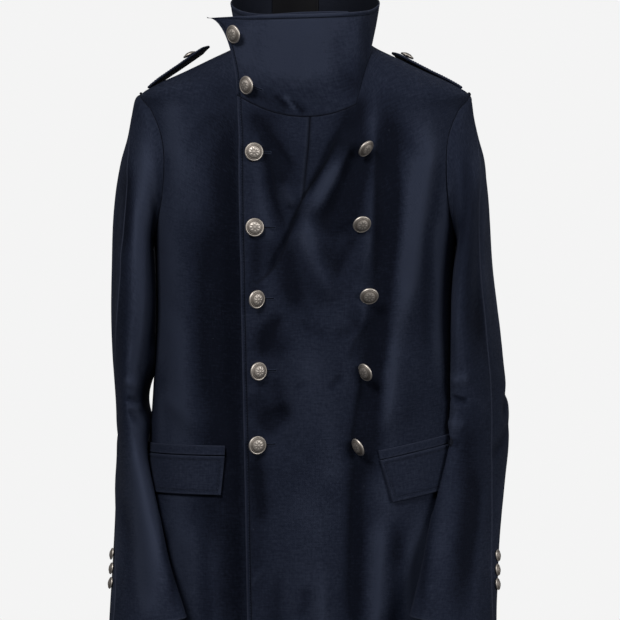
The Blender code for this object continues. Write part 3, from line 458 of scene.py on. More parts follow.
# The collar's creases, drawn over x and z as the eye in front sees them.
COLLAR_CREASES = (
    (-38, -66, -19, -84, 0, 3.4, 0.2, -1.8),
    (-28, -66, -8, -88, 0, 3.6, 0.0, 1.5),
    (-19, -72, 1, -92, 0, 3.2, 0.2, -1.8),
    (40, 20, 62, -70, 6, 12.0, 0.2, -2.4),
    (70, 40, 74, -40, 4, 9.0, 0.2, 1.8),
    (-60, 26, -74, -40, 4, 12.0, 0.2, 1.6),
    (10, 30, -6, -60, 5, 16.0, 0.2, 1.4),
)

STRAP_HALF_WIDTH = 23
STRAP_OUTER = 199
STRAP_INNER = {RIGHT: 114.5, LEFT: 108.5}
STRAP_POINT = 9
STRAP_THICK = 3.0
STRAP_LIFT = {RIGHT: (0.1, 15.5), LEFT: (0.1, 3.5)}
STRAP_RISE = 0.9
# The strap's grid, in millimetres along it and across; and the heights between which the shoulder
# under it is looked for, and how often they are halved.
STRAP_STEPS = (3.0, 2.5)
SHOULDER_SEARCH, HALVINGS = (-140.0, 13.0), 30
STRAP_BUTTON_AT = {RIGHT: 0.7, LEFT: 0.8}
ON_PANEL = 0.8
FLAPS = {
    RIGHT: {"top": ((-98.5, -513), (-199, -513)), "foot": ((-103, -561), (-199, -561))},
    LEFT: {"top": ((92, -518), (200, -496)), "foot": ((106.5, -570), (200, -551))},
}
WELTS = {
    RIGHT: {"top": ((-98.5, -500), (-199, -500)), "foot": ((-98.5, -512), (-199, -512))},
    LEFT: {"top": ((90, -506), (200, -484)), "foot": ((92, -517), (200, -495))},
}
WELT_THICK = 1.6
FLAP_HANG = 0.9
# The small pieces: how much wider their grid is than their straight width, how round their edges
# are as a share of their thickness, how deep their stitching lies, and their grid's step.
PATCH_WRAP, PATCH_ROUND, PATCH_DEEP, PATCH_STEP = 1.15, 0.48, 0.35, 2.6
# How much wear and painted highlight lie along their edges and how far in, how much painted
# shade lies on their stitching, and how deep they pucker.
PATCH_WEAR_AND_HIGHLIGHT, PATCH_WEAR_AND_HIGHLIGHT_REACH, PATCH_SHADE, PATCH_PUCKER = 0.6, 1.6, 0.5, 0.1
LABEL = {"from_x": -44, "to_x": 18, "foot": 40, "top": 82}
LABEL_THICK, LABEL_OFF, LABEL_STEP = 1.0, 0.6, 3.0
# How many steps find the label on the collar, and how many millimetres there go to a radian round
# the neck and to the collar's whole height, about.
LABEL_TRIES, LABEL_REACH = 20, (80, 95)
# The label's edge rounding, and how far in its wear and painted highlight reach.
LABEL_ROUND, LABEL_WEAR_AND_HIGHLIGHT_REACH = 0.45, 1.2
LABEL_STITCH = {"in": 2.0, "wide": 0.5, "deep": 0.25}

BUTTON_WIDE, BUTTON_STRAP, BUTTON_SMALL = 23.0, 18.0, 15.0
BUTTON_OFF = 0.5
# Rings and spokes of a button's face, for the fine ones and the cuffs'.
BUTTON_GRIDS = {True: (38, 80), False: (26, 56)}
# A button for a width of 1: the height of its crown, how it falls off with the radius squared, its
# rim's end, the rest of its half section, and a plain outline of the whole for seating it.
BUTTON_CROWN, BUTTON_DOME, BUTTON_RIM_END = 0.365, 0.62, 0.185
BUTTON_EDGE = ((0.5, 0.18), (0.497, 0.165), (0.465, 0.14), (0.12, 0.12), (0.12, 0.0))
BUTTON_OUTLINE = ((0.0, 0.365), (0.5, 0.18), (0.465, 0.14), (0.12, 0.12), (0.12, 0.0))
# Its raised and sunk rings and its relief: radius, width and height.
BUTTON_RIM_RINGS = ((0.462, 0.020, 0.016), (0.425, 0.014, -0.020), (0.345, 0.012, -0.014))
BUTTON_RELIEF = {
    "rope": (0.385, 0.019, 0.010),
    "leaves": (0.20, 0.085, 0.022),
    "veins": (0.21, 0.07, -0.005),
    "small leaves": (0.285, 0.026, 0.010),
    "boss": (0, 0.055, 0.018),
    "round the boss": (0.085, 0.014, 0.006),
}
# How many strands the rope has and how far they slant, and how wide the leaves' veins are.
ROPE_TURNS, ROPE_SLANT = 30, 70
VEIN_WIDE = 0.16
# The relief's height by which the hollows have nearly gone, and their outer radius.
HOLLOW_BELOW, HOLLOW_INSIDE = 0.013, 0.43
# The front buttons: x, z, how many degrees each leans to the side and down from straight ahead,
# and how far it stands off the cloth.
RIGHT_BUTTONS = (
    (-65.0, -139, 3, 3, 0.5),
    (-61.5, -231.5, 6, 2, 0.5),
    (-59.6, -319, 36, 12, 0.0),
    (-58.1, -407.6, 32, 6, 0.0),
    (-58.7, -498.2, 24, 8, 0.5),
)
LEFT_BUTTONS = (
    (70.0, -134, 52, 50, -1.1),
    (69.2, -225.8, 16, 34, -0.4),
    (76.0, -313.5, 6, 34, -0.1),
    (75.5, -407.6, -50, 32, -0.8),
    (69.5, -499.5, -60, 42, -0.9),
)
COLLAR_BUTTONS = ((-393.0, 0.69, -46, 20), (-394.4, 0.19, -46, 12))
STRAIGHT_AHEAD = (0.0, -1.0, 0.0)
CUFF_BUTTON_STOPS = (13.885, 14.255, 14.625)
CUFF_BUTTON_BEHIND = 14

# How the cloth's edges are made: how far a folded edge or a seam rounds off, and where and how
# deep the row of edge stitching lies.
EDGE_ROUND = {"free": 1.15, "seam": 0.8, "pressed": 0.4, "set in": 0.8}
# How pale each kind of edge is made, partly by wear and partly by a painted highlight on its rounded
# edge, and over what reach; then how much painted shade lies in a seam, most at the collar's sunk foot,
# and over what reach.
EDGE_PALE = {"free": 1.0, "seam": 0.45, "pressed": 1.6, "set in": 0.0}
EDGE_REACH = {"free": 1.6, "seam": 1.6, "pressed": 1.3, "set in": 1.6}
SEAM_DARK = {"free": 0.0, "seam": 0.95, "pressed": 0.0, "set in": 1.3}
SEAM_DARK_REACH = 1.0
STITCH_IN, STITCH_DEEP, STITCH_WIDE = 5.2, 0.8, 1.2
STITCH_LONG, STITCH_THICK, STITCH_EVERY = 2.6, 0.75, 3.4
# The cloth's puckers along a sewn line: sines with their shares, lengths and shifts.
PUCKER_WAVES, PUCKER_SUM = ((1, 2.9, 1), (0.7, 4.7, 2.1), (0.5, 1.9, 3.7)), 2.2
PUCKER_DEEP, PUCKER_REACH = 0.12, 5.0
# A buttonhole reaches from under its button out beside it. Its rings: reach, rise and darkness,
# which is painted shade, most in the slit, some on the thread beside it and where the ring sinks
# into the cloth.
BUTTONHOLE_REACH = (4.0, 23.0)
COLLAR_HOLE_REACH = (4.0, 16.5)
BUTTONHOLE_HALF, BUTTONHOLE_SPOKES = 1.7, 96
# Its eye: how much wider it is, how far from the hole's end it starts and over how far it opens.
BUTTONHOLE_EYE, EYE_FROM, EYE_FADE = 0.45, 5, 3
# How unevenly its thread rises, as a share.
BUTTONHOLE_RIBS = 0.2
# The collar's radius where its buttonholes lie.
COLLAR_RADIUS = 118
BUTTONHOLE_RINGS = (
    (0.10, 0.15, 1.0),
    (0.30, 0.15, 1.0),
    (0.42, 0.45, 0.5),
    (0.62, 0.75, 0.0),
    (0.82, 0.55, 0.0),
    (0.97, 0.10, 0.3),
    (1.00, -0.30, 0.6),
    (0.30, -0.60, 1.0),
)
# The grids: the steps in millimetres, a finer stretch on the left front (start, end, step), and
# the places near each edge.
STEP = 3.6
FRONT_STEP = 4.2
FINE_ACROSS = {LEFT: (14, 150, 1.6), RIGHT: None}
FINE_UP = {LEFT: (470, 730, 1.6), RIGHT: None}
BACK_STEP = 4.4
SLEEVE_STEP = 3.2
NEAR_EDGE = (0, 0.35, 0.8, 1.4, 2.2, 3.2, 4.2, 5.2, 6.2, 7.4, 9.4)
NEAR_NARROW = (0, 0.35, 0.8, 1.4, 2.2)
NEAR_LABEL = (0, 0.25, 0.5, 1.0, 2.0, 3.0)

# The cloth's colours: ramps of position and colour, whose ends come first, and single ones.
# The wool's ramp is read at the weave's tone plus the painted light and shade, which reach towards its
# dark and its pale end.
WOOL_TONES = (
    (0.0, (0.0006, 0.0011, 0.0038)),
    (1.0, (0.0235, 0.0291, 0.0490)),
    (0.5, (0.0074, 0.0100, 0.0202)),
)
SATIN_TONES = ((0.0, (0.0010, 0.0010, 0.0016)), (1.0, (0.0036, 0.0036, 0.0050)))
THREAD_TONES = ((0.3, (0.0080, 0.0115, 0.0240)), (0.7, (0.0260, 0.0330, 0.0560)))
# The near-black that painted shade mixes in, in seams, stitching, sharp creases and buttonholes.
SHADED_CLOTH = (0.0006, 0.0008, 0.0018, 1)
NAVY_GLEAM = (0.56, 0.66, 1.0, 1.0)
# The yarn's uneven places: how dense they are along both threads, and their share in the colour.
SLUBS = (((75.0, 640.0, 1.0), 0.7), ((760.0, 60.0, 1.0), 0.45))

# The studio, in metres. A light: name, place, size, power and whether metal mirrors it.
CAMERA = {"place": (0.0064, -3.0, -0.3328), "field": 0.7936, "sensor": 36}
LIGHT_AIM = (0, 0, -0.35)
LIGHTS = (
    ("key_light", (-1.3, -2.3, 1.7), 1.0, 74, True),
    ("fill_light", (2.5, -1.8, 0.5), 1.4, 42, True),
    ("back_light", (0.8, 2.6, 1.6), 1.8, 60, False),
)
FLOOR_DROP, FLOOR_RADIUS, FLOOR_CORNERS = 0.6, 2.4, 64


def columns(rows, names):
    """The rows of a table as one array for each named column."""
    return dict(zip(names, np.array(rows, float).T))


BODY = columns(BODY_ROWS[::-1], BODY_COLUMNS)
SLEEVES = {LEFT: columns(LEFT_SLEEVE, SLEEVE_COLUMNS), RIGHT: columns(RIGHT_SLEEVE, SLEEVE_COLUMNS)}
COLLAR = columns(COLLAR_ROWS[::-1], COLLAR_COLUMNS)


def curve(at, knots, values):
    """A cubic through knots and values, its slope at each knot taken from the knots beside it."""
    at = np.asarray(at, float)
    slopes = np.gradient(values, knots)
    i = np.clip(np.searchsorted(knots, at, side="right") - 1, 0, len(knots) - 2)
    span = knots[i + 1] - knots[i]
    t = np.clip((at - knots[i]) / span, 0.0, 1.0)
    from_start = (1 + 2 * t) * (1 - t) ** 2 * values[i] + t * (1 - t) ** 2 * span * slopes[i]
    from_end = t**2 * (3 - 2 * t) * values[i + 1] + t**2 * (t - 1) * span * slopes[i + 1]
    return from_start + from_end


def ease(t):
    """The soft step 3t^2 - 2t^3, 0 below 0 and 1 above 1."""
    t = np.clip(t, 0.0, 1.0)
    return t * t * (3 - 2 * t)


def bell(distance, width):
    """The bell curve, e to the power of minus the square of distance over width."""
    return np.exp(-((distance / width) ** 2))


def unit(vectors):
    """Each vector divided by its length."""
    return vectors / np.maximum(np.linalg.norm(vectors, axis=-1, keepdims=True), 1e-9)


def line_places(x, z, line):
    """How far along a straight line each place lies, as a share of the line's length, and how far
    beside it, in millimetres."""
    top_x, top_z, foot_x, foot_z = line
    run_x, run_z = foot_x - top_x, foot_z - top_z
    length = math.hypot(run_x, run_z)
    along = ((x - top_x) * run_x + (z - top_z) * run_z) / length**2
    across = ((x - top_x) * run_z - (z - top_z) * run_x) / length
    return along, across


def fold_relief(x, z, folds):
    """The sum of straight folds: depth times a bell across the line, faded over both its ends."""
    relief = np.zeros(np.broadcast(x, z).shape)
    for *line, half_width, depth in folds:
        along, across = line_places(x, z, line)
        ends = ease(along / FOLD_FADE) * ease((1 - along) / FOLD_FADE)
        relief += depth * ends * bell(across, half_width)
    return relief


def crease_relief(x, z, creases):
    """The sum of bowed creases: the line's middle is pushed aside by bow times 4t(1 - t), and the
    bell across it is wider on one side than on the other by its lean."""
    relief = np.zeros(np.broadcast(x, z).shape)
    for *line, bow, half_width, lean, depth in creases:
        along, across = line_places(x, z, line)
        t = np.clip(along, 0, 1)
        across = across - bow * 4 * t * (1 - t)
        width = half_width * np.where(across > 0, 1 + lean, 1 - lean)
        ends = ease(along / CREASE_FADE + 0.1) * ease((1 - along) / CREASE_FADE + 0.1)
        relief += depth * ends * bell(across, width)
    return relief


def section(height, name):
    """One measure of the body's level section at a height."""
    return curve(height, BODY["height"], BODY[name])


def plain_radius(turn, height):
    """The body's distance from its vertical axis: a superellipse in plan, from the table."""
    side, ahead = np.abs(np.sin(turn)), np.abs(np.cos(turn))
    power, width = section(height, "squareness"), section(height, "half_width")
    depth = np.where(np.cos(turn) > 0, section(height, "front_depth"), section(height, "back_depth"))
    return ((side / width) ** power + (ahead / depth) ** power) ** (-1 / power)


def under_flaps(x, height):
    """How far each place lies under a pocket flap, from 0 to 1, fading beside it."""
    above_foot = ease((height - FLAT_ZONE[0]) / FLAT_FADE)
    below_top = ease((FLAT_ZONE[1] - height) / FLAT_FADE)
    return above_foot * below_top * ease((np.abs(x) - FLAT_FROM[0]) / (FLAT_FROM[1] - FLAT_FROM[0]))


def body_radius(turn, height):
    """The plain radius plus the largest folds, which lie flatter under the pocket flaps."""
    radius = plain_radius(turn, height)
    x = radius * np.sin(turn)
    kept = 1 - FLAT_SHARE * under_flaps(x, height)
    front = fold_relief(x, height, FRONT_FOLDS) * ease(np.cos(turn) / FACING_FADE) * kept
    back = fold_relief(x, height, BACK_FOLDS) * ease(-np.cos(turn) / FACING_FADE)
    return radius + front + back


def fine_relief(turn, height):
    """The finer creases of the body, calm under the flaps and at the sides."""
    x = plain_radius(turn, height) * np.sin(turn)
    kept = 1 - under_flaps(x, height)
    front = crease_relief(x, height, FRONT_CREASES) * ease(np.cos(turn) / FACING_FADE) * kept
    back = crease_relief(x, height, BACK_CREASES) * ease(-np.cos(turn) / FACING_FADE)
    return FRONT_STRENGTH * front + back


def over_lift(turn, height):
    """How far the left front stands off where it lies on the right front, most at its free edge."""
    x = plain_radius(turn, height) * np.sin(turn)
    over = OVER_LIFT * ease((OVER_FADE[1] - x) / (OVER_FADE[1] - OVER_FADE[0]))
    return over + EDGE_LIFT * ease((EDGE_FADE[0] - x) / (EDGE_FADE[0] - EDGE_FADE[1]))


def body_point(turn, height, lifted=False, fine=False):
    """The body's surface in the round: radius times sine and minus cosine of the turn."""
    radius = body_radius(turn, height)
    if fine:
        radius = radius + fine_relief(turn, height)
    point = np.stack([radius * np.sin(turn), -radius * np.cos(turn), height + 0 * radius], axis=-1)
    if lifted:
        point = point + body_normal(turn, height) * over_lift(turn, height)[..., None]
    return point


def body_normal(turn, height):
    """The body's outward direction: the cross product of its slopes across and up."""
    small_turn, small_height = 0.002, 0.3
    across = body_point(turn + small_turn, height) - body_point(turn - small_turn, height)
    up = body_point(turn, height + small_height) - body_point(turn, height - small_height)
    return unit(np.cross(across, up))


def turn_of_x(x, height):
    """The turn at which the front's plain surface has this x."""
    power, width = section(height, "squareness"), section(height, "half_width")
    share = np.clip(np.abs(x) / width, 0, 1) ** power
    return np.arctan2(x, section(height, "front_depth") * (1 - share) ** (1 / power))


def armhole(angle, side, front):
    """The armhole's turn and height: an ellipse seen from the side, from the shoulder, at 0, down."""
    height = ARMHOLE_MIDDLE + ARMHOLE_HALF_HEIGHT * np.cos(angle)
    depth = ARMHOLE_HALF_DEPTH * np.abs(np.sin(angle))
    power, width = section(height, "squareness"), section(height, "half_width")
    reach = section(height, "front_depth" if front else "back_depth")
    x = side * width * (1 - (depth / reach) ** power) ** (1 / power)
    return np.arctan2(x, depth if front else -depth), height


def side_place(side, front, row):
    """A panel's side at its rows: straight up the seam, round the armhole, along the shoulder."""
    seam = np.interp(row, ROW_MARKS[:2], (HEM, ARMHOLE_MIDDLE - ARMHOLE_HALF_HEIGHT))
    shoulder = np.interp(row, ROW_MARKS[2:], (SHOULDER_TIP[1], NECK_SIDE[1]))
    turn, height = armhole(np.interp(row, ROW_MARKS[1:3], (np.pi, 0)), side, front)
    inside = (row > ROW_MARKS[1]) & (row < ROW_MARKS[2])
    height = np.where(row <= ROW_MARKS[1], seam, np.where(inside, height, shoulder))
    return np.where(inside, turn, side * np.pi / 2), height


def side_rise(t, cell):
    """How a front's rows climb to the side: low ones late, as a power of t, and those by the neck
    at once."""
    early = ease((cell - EARLY_ROWS[0]) / EARLY_ROWS[1])
    return early * (1 - (1 - t) ** NECK_POWER) + (1 - early) * t**SIDE_POWER


def front_place(side, col, row):
    """Turn and height on a front, col in millimetres from its free edge and row up its side."""
    cell = np.interp(row, ROW_MARKS, ROW_CELLS)
    level = np.interp(row, ROW_MARKS, ROW_STOPS_FRONT)
    weight = np.clip((cell - ROW_CELLS[-1] + NECK_ROWS) / NECK_ROWS, 0, 1)
    (top_x, top_z), (foot_x, foot_z) = FRONT_EDGE_TOP, FRONT_EDGE_FOOT
    edge_level = level + weight * NECK_FRONT_RISE
    edge_x = top_x + (foot_x - top_x) * (edge_level - top_z) / (foot_z - top_z)
    free_x = edge_x if side == LEFT else OVERLAP + 0 * level
    x = free_x + (side * OVERLAP - free_x) * np.clip(col / MIDDLE_MM[side], 0, 1)
    height = level + weight * NECK_FRONT_RISE * (x / OVERLAP) ** 2
    turn = turn_of_x(x, height)
    t = np.clip((col - MIDDLE_MM[side]) / WRAP_MM, 0, 1)
    side_turn, side_height = side_place(side, True, row)
    wrap_turn = turn + (side_turn - turn) * t
    wrap_height = height + (side_height - height) * side_rise(t, cell)
    return np.where(t > 0, wrap_turn, turn), np.where(t > 0, wrap_height, height)


def back_place(col, row):
    """Turn and height on the back, col in nominal millimetres from the wearer's left side seam."""
    left_turn, side_height = side_place(LEFT, False, row)
    right_turn = 2 * np.pi + side_place(RIGHT, False, row)[0]
    right_turn = np.where(right_turn > 2 * np.pi, right_turn - 2 * np.pi, right_turn)
    t = col / BACK_MM
    centre = np.interp(row, ROW_MARKS, ROW_STOPS_BACK)
    rise = np.abs(2 * t - 1) ** BACK_POWER
    return left_turn + (right_turn - left_turn) * t, centre + (side_height - centre) * rise


def stops(length, step=STEP, near=NEAR_EDGE, fine=None):
    """Places along a length: close together by both ends, where edges and stitching are, else
    even, with a finer step over one stretch where fine gives its start, its end and its step."""
    near = np.array(near, float)
    marks, steps = [near[-1], length - near[-1]], [step]
    if fine:
        marks, steps = [near[-1], fine[0], fine[1], marks[1]], [step, fine[2], step]
    runs = [
        np.linspace(start, end, max(2, round((end - start) / size) + 1))[:-1]
        for start, end, size in zip(marks, marks[1:], steps)
    ]
    return np.concatenate([near[:-1], *runs, [marks[-1]], (length - near[::-1])[1:]])


def grid_normals(points, outwards):
    """Each grid point's direction off the surface: the cross product of its two grid directions."""
    return unit(np.cross(np.gradient(points, axis=1), np.gradient(points, axis=0))) * outwards


def run_lengths(points, axis):
    """Each point's distance along its grid line from the line's start and to its end."""
    steps = np.linalg.norm(np.diff(points, axis=axis), axis=-1)
    pad = [(1, 0), (0, 0)] if axis == 0 else [(0, 0), (1, 0)]
    start = np.pad(np.cumsum(steps, axis=axis), pad)
    return start, np.take(start, [-1], axis=axis) - start


def edge_runs(points):
    """Each grid point's distances along its grid lines from the left, right, foot and top edges."""
    return (*run_lengths(points, 1), *run_lengths(points, 0))


def rounding(distance, radius):
    """How far a rounded edge has dropped: a quarter circle of that radius, then nothing."""
    inside = np.clip(1 - distance / radius, 0, 1)
    return radius * (1 - np.sqrt(1 - inside**2))


def puckers(distance, seed):
    """Small uneven waves along a stitched line: three sines of unlike lengths."""
    waves = [
        share * np.sin(distance / length + shift * seed) for share, length, shift in PUCKER_WAVES
    ]
    return sum(waves) / PUCKER_SUM


def stitch_sink(distance, along, seed, deep):
    """A stitched line's bell across and how deep the stitches pull it in, unevenly, along its run."""
    line = bell(distance - STITCH_IN, STITCH_WIDE)
    return line, deep * (1 + 0.3 * puckers(along * 1.3, seed)) * line


def sew_edges(points, edges, outwards, seed):
    """Outer and inner faces of a wall from its surface, with its edges rounded and its stitching
    sunk in, with how much wear and painted highlight each point has by an edge and how much
    painted shade by a seam or by stitching, from 0 to 1.

    edges gives left, right, foot and top, each as (kind, stitched)."""
    runs = edge_runs(points)
    left, foot = runs[0], runs[2]
    sunk, risen, wear_and_painted_highlight, shaded = (np.zeros(left.shape) for _ in range(4))
    for distance, along, (kind, stitched) in zip(runs, (foot, foot, left, left), edges):
        sunk = np.maximum(sunk, rounding(distance, EDGE_ROUND[kind]))
        inner_round = EDGE_ROUND[kind] * (1 if kind == "free" else 0.5)
        risen = np.maximum(risen, rounding(distance, inner_round))
        wear_and_painted_highlight = np.maximum(wear_and_painted_highlight, bell(distance, EDGE_REACH[kind]) * EDGE_PALE[kind])
        # Painted shade along a seam, reaching further where the collar's foot sinks in.
        reach = SEAM_DARK_REACH + (COLLAR_SINK if kind == "set in" else 0)
        shaded = np.maximum(shaded, np.minimum(SEAM_DARK[kind] * bell(distance, reach), 1))
        sunk = sunk + PUCKER_DEEP * puckers(along, seed) * bell(distance, PUCKER_REACH)
        if stitched:
            line, pull = stitch_sink(distance, along, seed + 1, STITCH_DEEP)
            sunk = sunk + pull
            # Painted shade in the stitching's groove.
            shaded = np.maximum(shaded, line)
    normal = grid_normals(points, outwards)
    outer = points - normal * sunk[..., None]
    inner = points - normal * (CLOTH - risen)[..., None]
    return outer, inner, wear_and_painted_highlight, shaded, normal


def lay_out(points):
    """Where each point lies on the flat cloth, in metres: its run along its row and its column."""
    across = run_lengths(points, 1)[0]
    across = across - across[:, [across.shape[1] // 2]]
    up = run_lengths(points, 0)[0].mean(axis=1, keepdims=True)
    return np.stack([across, up + 0 * across], axis=-1) * MM


def edge_line(grid, normals, edge):
    """The line of points that lies STITCH_IN from one edge of a grid, and its directions."""
    if edge in ("foot", "top"):
        grid, normals = np.swapaxes(grid, 0, 1), np.swapaxes(normals, 0, 1)
    if edge in ("right", "top"):
        grid, normals = grid[:, ::-1], normals[:, ::-1]
    distance = run_lengths(grid, 1)[0]
    rows = np.arange(len(grid))
    after = np.clip((distance < STITCH_IN).sum(axis=1), 1, distance.shape[1] - 1)
    span = distance[rows, after] - distance[rows, after - 1]
    share = ((STITCH_IN - distance[rows, after - 1]) / span)[:, None]
    line = grid[rows, after - 1] * (1 - share) + grid[rows, after] * share
    return line, normals[rows, after]


def ring_faces(rows, spokes):
    """Quads of a ring grid that closes on itself, as point numbers."""
    row, col = np.arange(rows - 1)[:, None] * spokes, np.arange(spokes)[None, :]
    following = (col + 1) % spokes
    corners = (row + col, row + following, row + spokes + following, row + spokes + col)
    return np.stack(corners, axis=-1).reshape(-1, 4)


def stitch_form():
    """One stitch along x, 1 long and 1 thick: rings of four points that swell and shrink like a
    grain of rice, sunk a little at both ends."""
    t = np.array((-0.46, -0.25, 0.25, 0.46))
    swell = np.array((0.2, 0.5, 0.5, 0.2))
    angle = np.arange(4) * np.pi / 2
    ring = np.stack([0 * angle, np.cos(angle), np.sin(angle)], axis=1)
    points = swell[:, None, None] * ring
    points[..., 0] = t[:, None]
    points[..., 2] -= (np.abs(t)[:, None] > 0.4) * 0.3
    faces = np.concatenate([ring_faces(len(t), 4), [[3, 2, 1, 0], [12, 13, 14, 15]]])
    return points.reshape(-1, 3), faces


def read_along(at, run, values):
    """Points or directions of a line, read at places along its run."""
    return np.stack([np.interp(at, run, values[:, i]) for i in range(3)], axis=1)


def sew_along(name, lines, trim):
    """A row of stitches along each line: the one stitch form, set down every STITCH_EVERY, left out
    at both ends for a length of trim."""
    form, form_faces = stitch_form()
    made = []
    for line, normals in lines:
        run = np.concatenate([[0], np.cumsum(np.linalg.norm(np.diff(line, axis=0), axis=1))])
        at = np.arange(trim + STITCH_EVERY / 2, run[-1] - trim - STITCH_EVERY / 2, STITCH_EVERY)
        place = read_along(at, run, line)
        up = unit(read_along(at, run, normals))
        along = unit(read_along(at + 0.5, run, line) - place)
        axes = np.stack([along * STITCH_LONG, unit(np.cross(up, along)) * STITCH_THICK,
                         up * STITCH_THICK], axis=1)
        centre = place + up * STITCH_THICK * 0.3
        made.append(centre[:, None, :] + np.einsum("pk,nkj->npj", form, axes))
    points = np.concatenate(made)
    faces = form_faces[None] + np.arange(len(points))[:, None, None] * len(form)
    piece = make_mesh(name, points.reshape(-1, 3), faces.reshape(-1, 4), wool_thread, turned=False)
    return belong(piece, "wool")


def grid_quads(rows, cols, first=0):
    """The grid's cells as quads of point numbers."""
    corner = (np.arange(rows - 1)[:, None] * cols + np.arange(cols - 1)[None, :]).ravel() + first
    return np.stack([corner, corner + 1, corner + cols + 1, corner + cols], axis=1)


def wall_quads(rows, cols):
    """Quads of a closed wall: the outer grid, the inner grid turned over and the rim round both."""
    index = np.arange(rows * cols).reshape(rows, cols)
    loop = np.concatenate([index[0, :-1], index[:-1, -1], index[-1, :0:-1], index[:0:-1, 0]])
    following = np.roll(loop, -1)
    count = rows * cols
    rim = np.stack([loop, loop + count, following + count, following], axis=1)
    return np.concatenate([grid_quads(rows, cols), grid_quads(rows, cols, count)[:, ::-1], rim])


def link_mesh(name, points, faces, material, marks=()):
    """A new object in the scene: a smooth mesh from points in millimetres, with one number for each
    point under each mark's name."""
    mesh = bpy.data.meshes.new(name)
    mesh.from_pydata((points * MM).tolist(), [], faces)
    for mark, values in marks:
        layer = mesh.attributes.new(mark, "FLOAT", "POINT")
        layer.data.foreach_set("value", values.astype(np.float32))
    mesh.materials.append(material)
    mesh.shade_smooth()
    made = bpy.data.objects.new(name, mesh)
    bpy.context.scene.collection.objects.link(made)
    return made


def make_mesh(name, points, faces, material, uv=None, marks=(), turned=True):
    """An object with its faces turned outwards and its cloth layout as UVs."""
    a, b, c = (points[faces[:, i]] for i in range(3))
    if turned and np.einsum("ij,ij->i", a, np.cross(b, c)).sum() < 0:
        faces = faces[:, ::-1]
    made = link_mesh(name, points, faces.tolist(), material, marks)
    if uv is not None:
        corners = np.empty(len(made.data.loops), np.int32)
        made.data.loops.foreach_get("vertex_index", corners)
        layer = made.data.uv_layers.new(name="cloth")
        layer.data.foreach_set("uv", uv[corners].astype(np.float32).ravel())
    return made


def belong(piece, slot, *nodes):
    """The piece rides on the coat's one body and stands for its nodes, whose parts are hidden.
    slot is not used.
    """
    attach(piece, "root")
    if nodes:
        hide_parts(*nodes)
    return piece


def wall_piece(node, surface, outer, inner, marks, slot, material):
    """A closed wall between an outer and an inner grid of points, laid out flat as its surface is.
    marks gives, under each name, the outer face's numbers and the inner face's."""
    rows, cols = surface.shape[:2]
    layout = lay_out(surface).reshape(-1, 2)
    none = np.zeros(rows * cols)
    spread = [
        (mark, np.concatenate([none + np.ravel(values) for values in faces]))
        for mark, faces in marks.items()
    ]
    points = np.concatenate([outer.reshape(-1, 3), inner.reshape(-1, 3)])
    uv = np.concatenate([layout, layout])
    piece = make_mesh(f"{node}_cloth", points, wall_quads(rows, cols), material, uv, spread)
    return belong(piece, slot, node)


def lay_sheet(piece, node, grid=None, normal=None, sewn=(), trim=STITCH_IN):
    lines = [edge_line(grid, normal, edge) for edge in sewn]
    stitches = [sew_along(f"{node}_stitches", lines, trim)] if sewn else []


def cloth_piece(node, points, edges, outwards, seed, material, dark=0, pale=0, nap_and_painted_shading=0):
    """One sewn piece of cloth, a closed wall whose outer face follows the points."""
    outer, inner, wear_and_painted_highlight, shaded, normal = sew_edges(points, edges, outwards, seed)
    # The material reads these marks: wear and a painted highlight by the edges, painted shade in seams,
    # stitching and sharp creases, painted light and shade over the cloth, and the lining inside.
    marks = {
        "wear_and_painted_highlight": (np.maximum(wear_and_painted_highlight, pale), 0),
        "shaded": (np.maximum(shaded, dark), 0),
        "nap_and_painted_shading": (np.clip(nap_and_painted_shading, -1, 1), 0),
        "lining": (0, 1),
    }
    return wall_piece(node, points, outer, inner, marks, "wool", material), outer, normal


def move_column(points, column, shift):
    """The grid with one of its columns moved along y by a shift."""
    points = points.copy()
    points[:, column, 1] += shift
    return points


def ring_sizes(side, stop):
    """The sleeve table's columns, read smoothly at places counted in rows."""
    rows = np.arange(len(SLEEVES[side]["turn"]), dtype=float)
    return {name: curve(stop, rows, SLEEVES[side][name]) for name in SLEEVE_COLUMNS}


def plain_ring(side, stop, angle):
    """The sleeve's tilted elliptic sections, angle 0 outside, a quarter turn in front."""
    size = ring_sizes(side, stop)
    wide = (size["outer_x"] - size["inner_x"]) / 2
    tall = (size["outer_z"] - size["inner_z"]) / 2
    turn, long_half = np.radians(size["turn"]), size["long_half"]
    short_half = np.sqrt(wide**2 - (long_half * np.sin(turn)) ** 2) / np.cos(turn)
    outward = short_half * np.cos(turn) * np.cos(angle) - long_half * np.sin(turn) * np.sin(angle)
    ahead = short_half * np.sin(turn) * np.cos(angle) + long_half * np.cos(turn) * np.sin(angle)
    x = (size["outer_x"] + size["inner_x"]) / 2 + outward
    z = (size["outer_z"] + size["inner_z"]) / 2 + outward * tall / wide
    return np.stack([side * x, size["middle_y"] - ahead, z], axis=-1)


def armhole_ring(side, angle):
    """The armhole's points on the body, its front half for angles above 0."""
    front, back = (armhole(np.abs(angle), side, half) for half in (True, False))
    return body_point(*(np.where(angle >= 0, ahead, behind) for ahead, behind in zip(front, back)))


def push_off_body(points, stop):
    """The points, moved out from the body's axis where they lie nearer than the clearance."""
    x, y, z = np.moveaxis(points, -1, 0)
    near_flap = ease((z - FLAP_ZONE[0]) / FLAP_FADE) * ease((FLAP_ZONE[1] - z) / FLAP_FADE)
    clearance = BODY_CLEARANCE + (FLAP_CLEARANCE - BODY_CLEARANCE) * near_flap
    wanted = body_radius(np.arctan2(x, -y), z) + clearance * ease(stop / CLEAR_FROM)
    radius = np.hypot(x, y)
    scale = np.where(stop > 0, np.maximum(wanted, radius) / radius, 1.0)
    return np.stack([x * scale, y * scale, z], axis=-1)


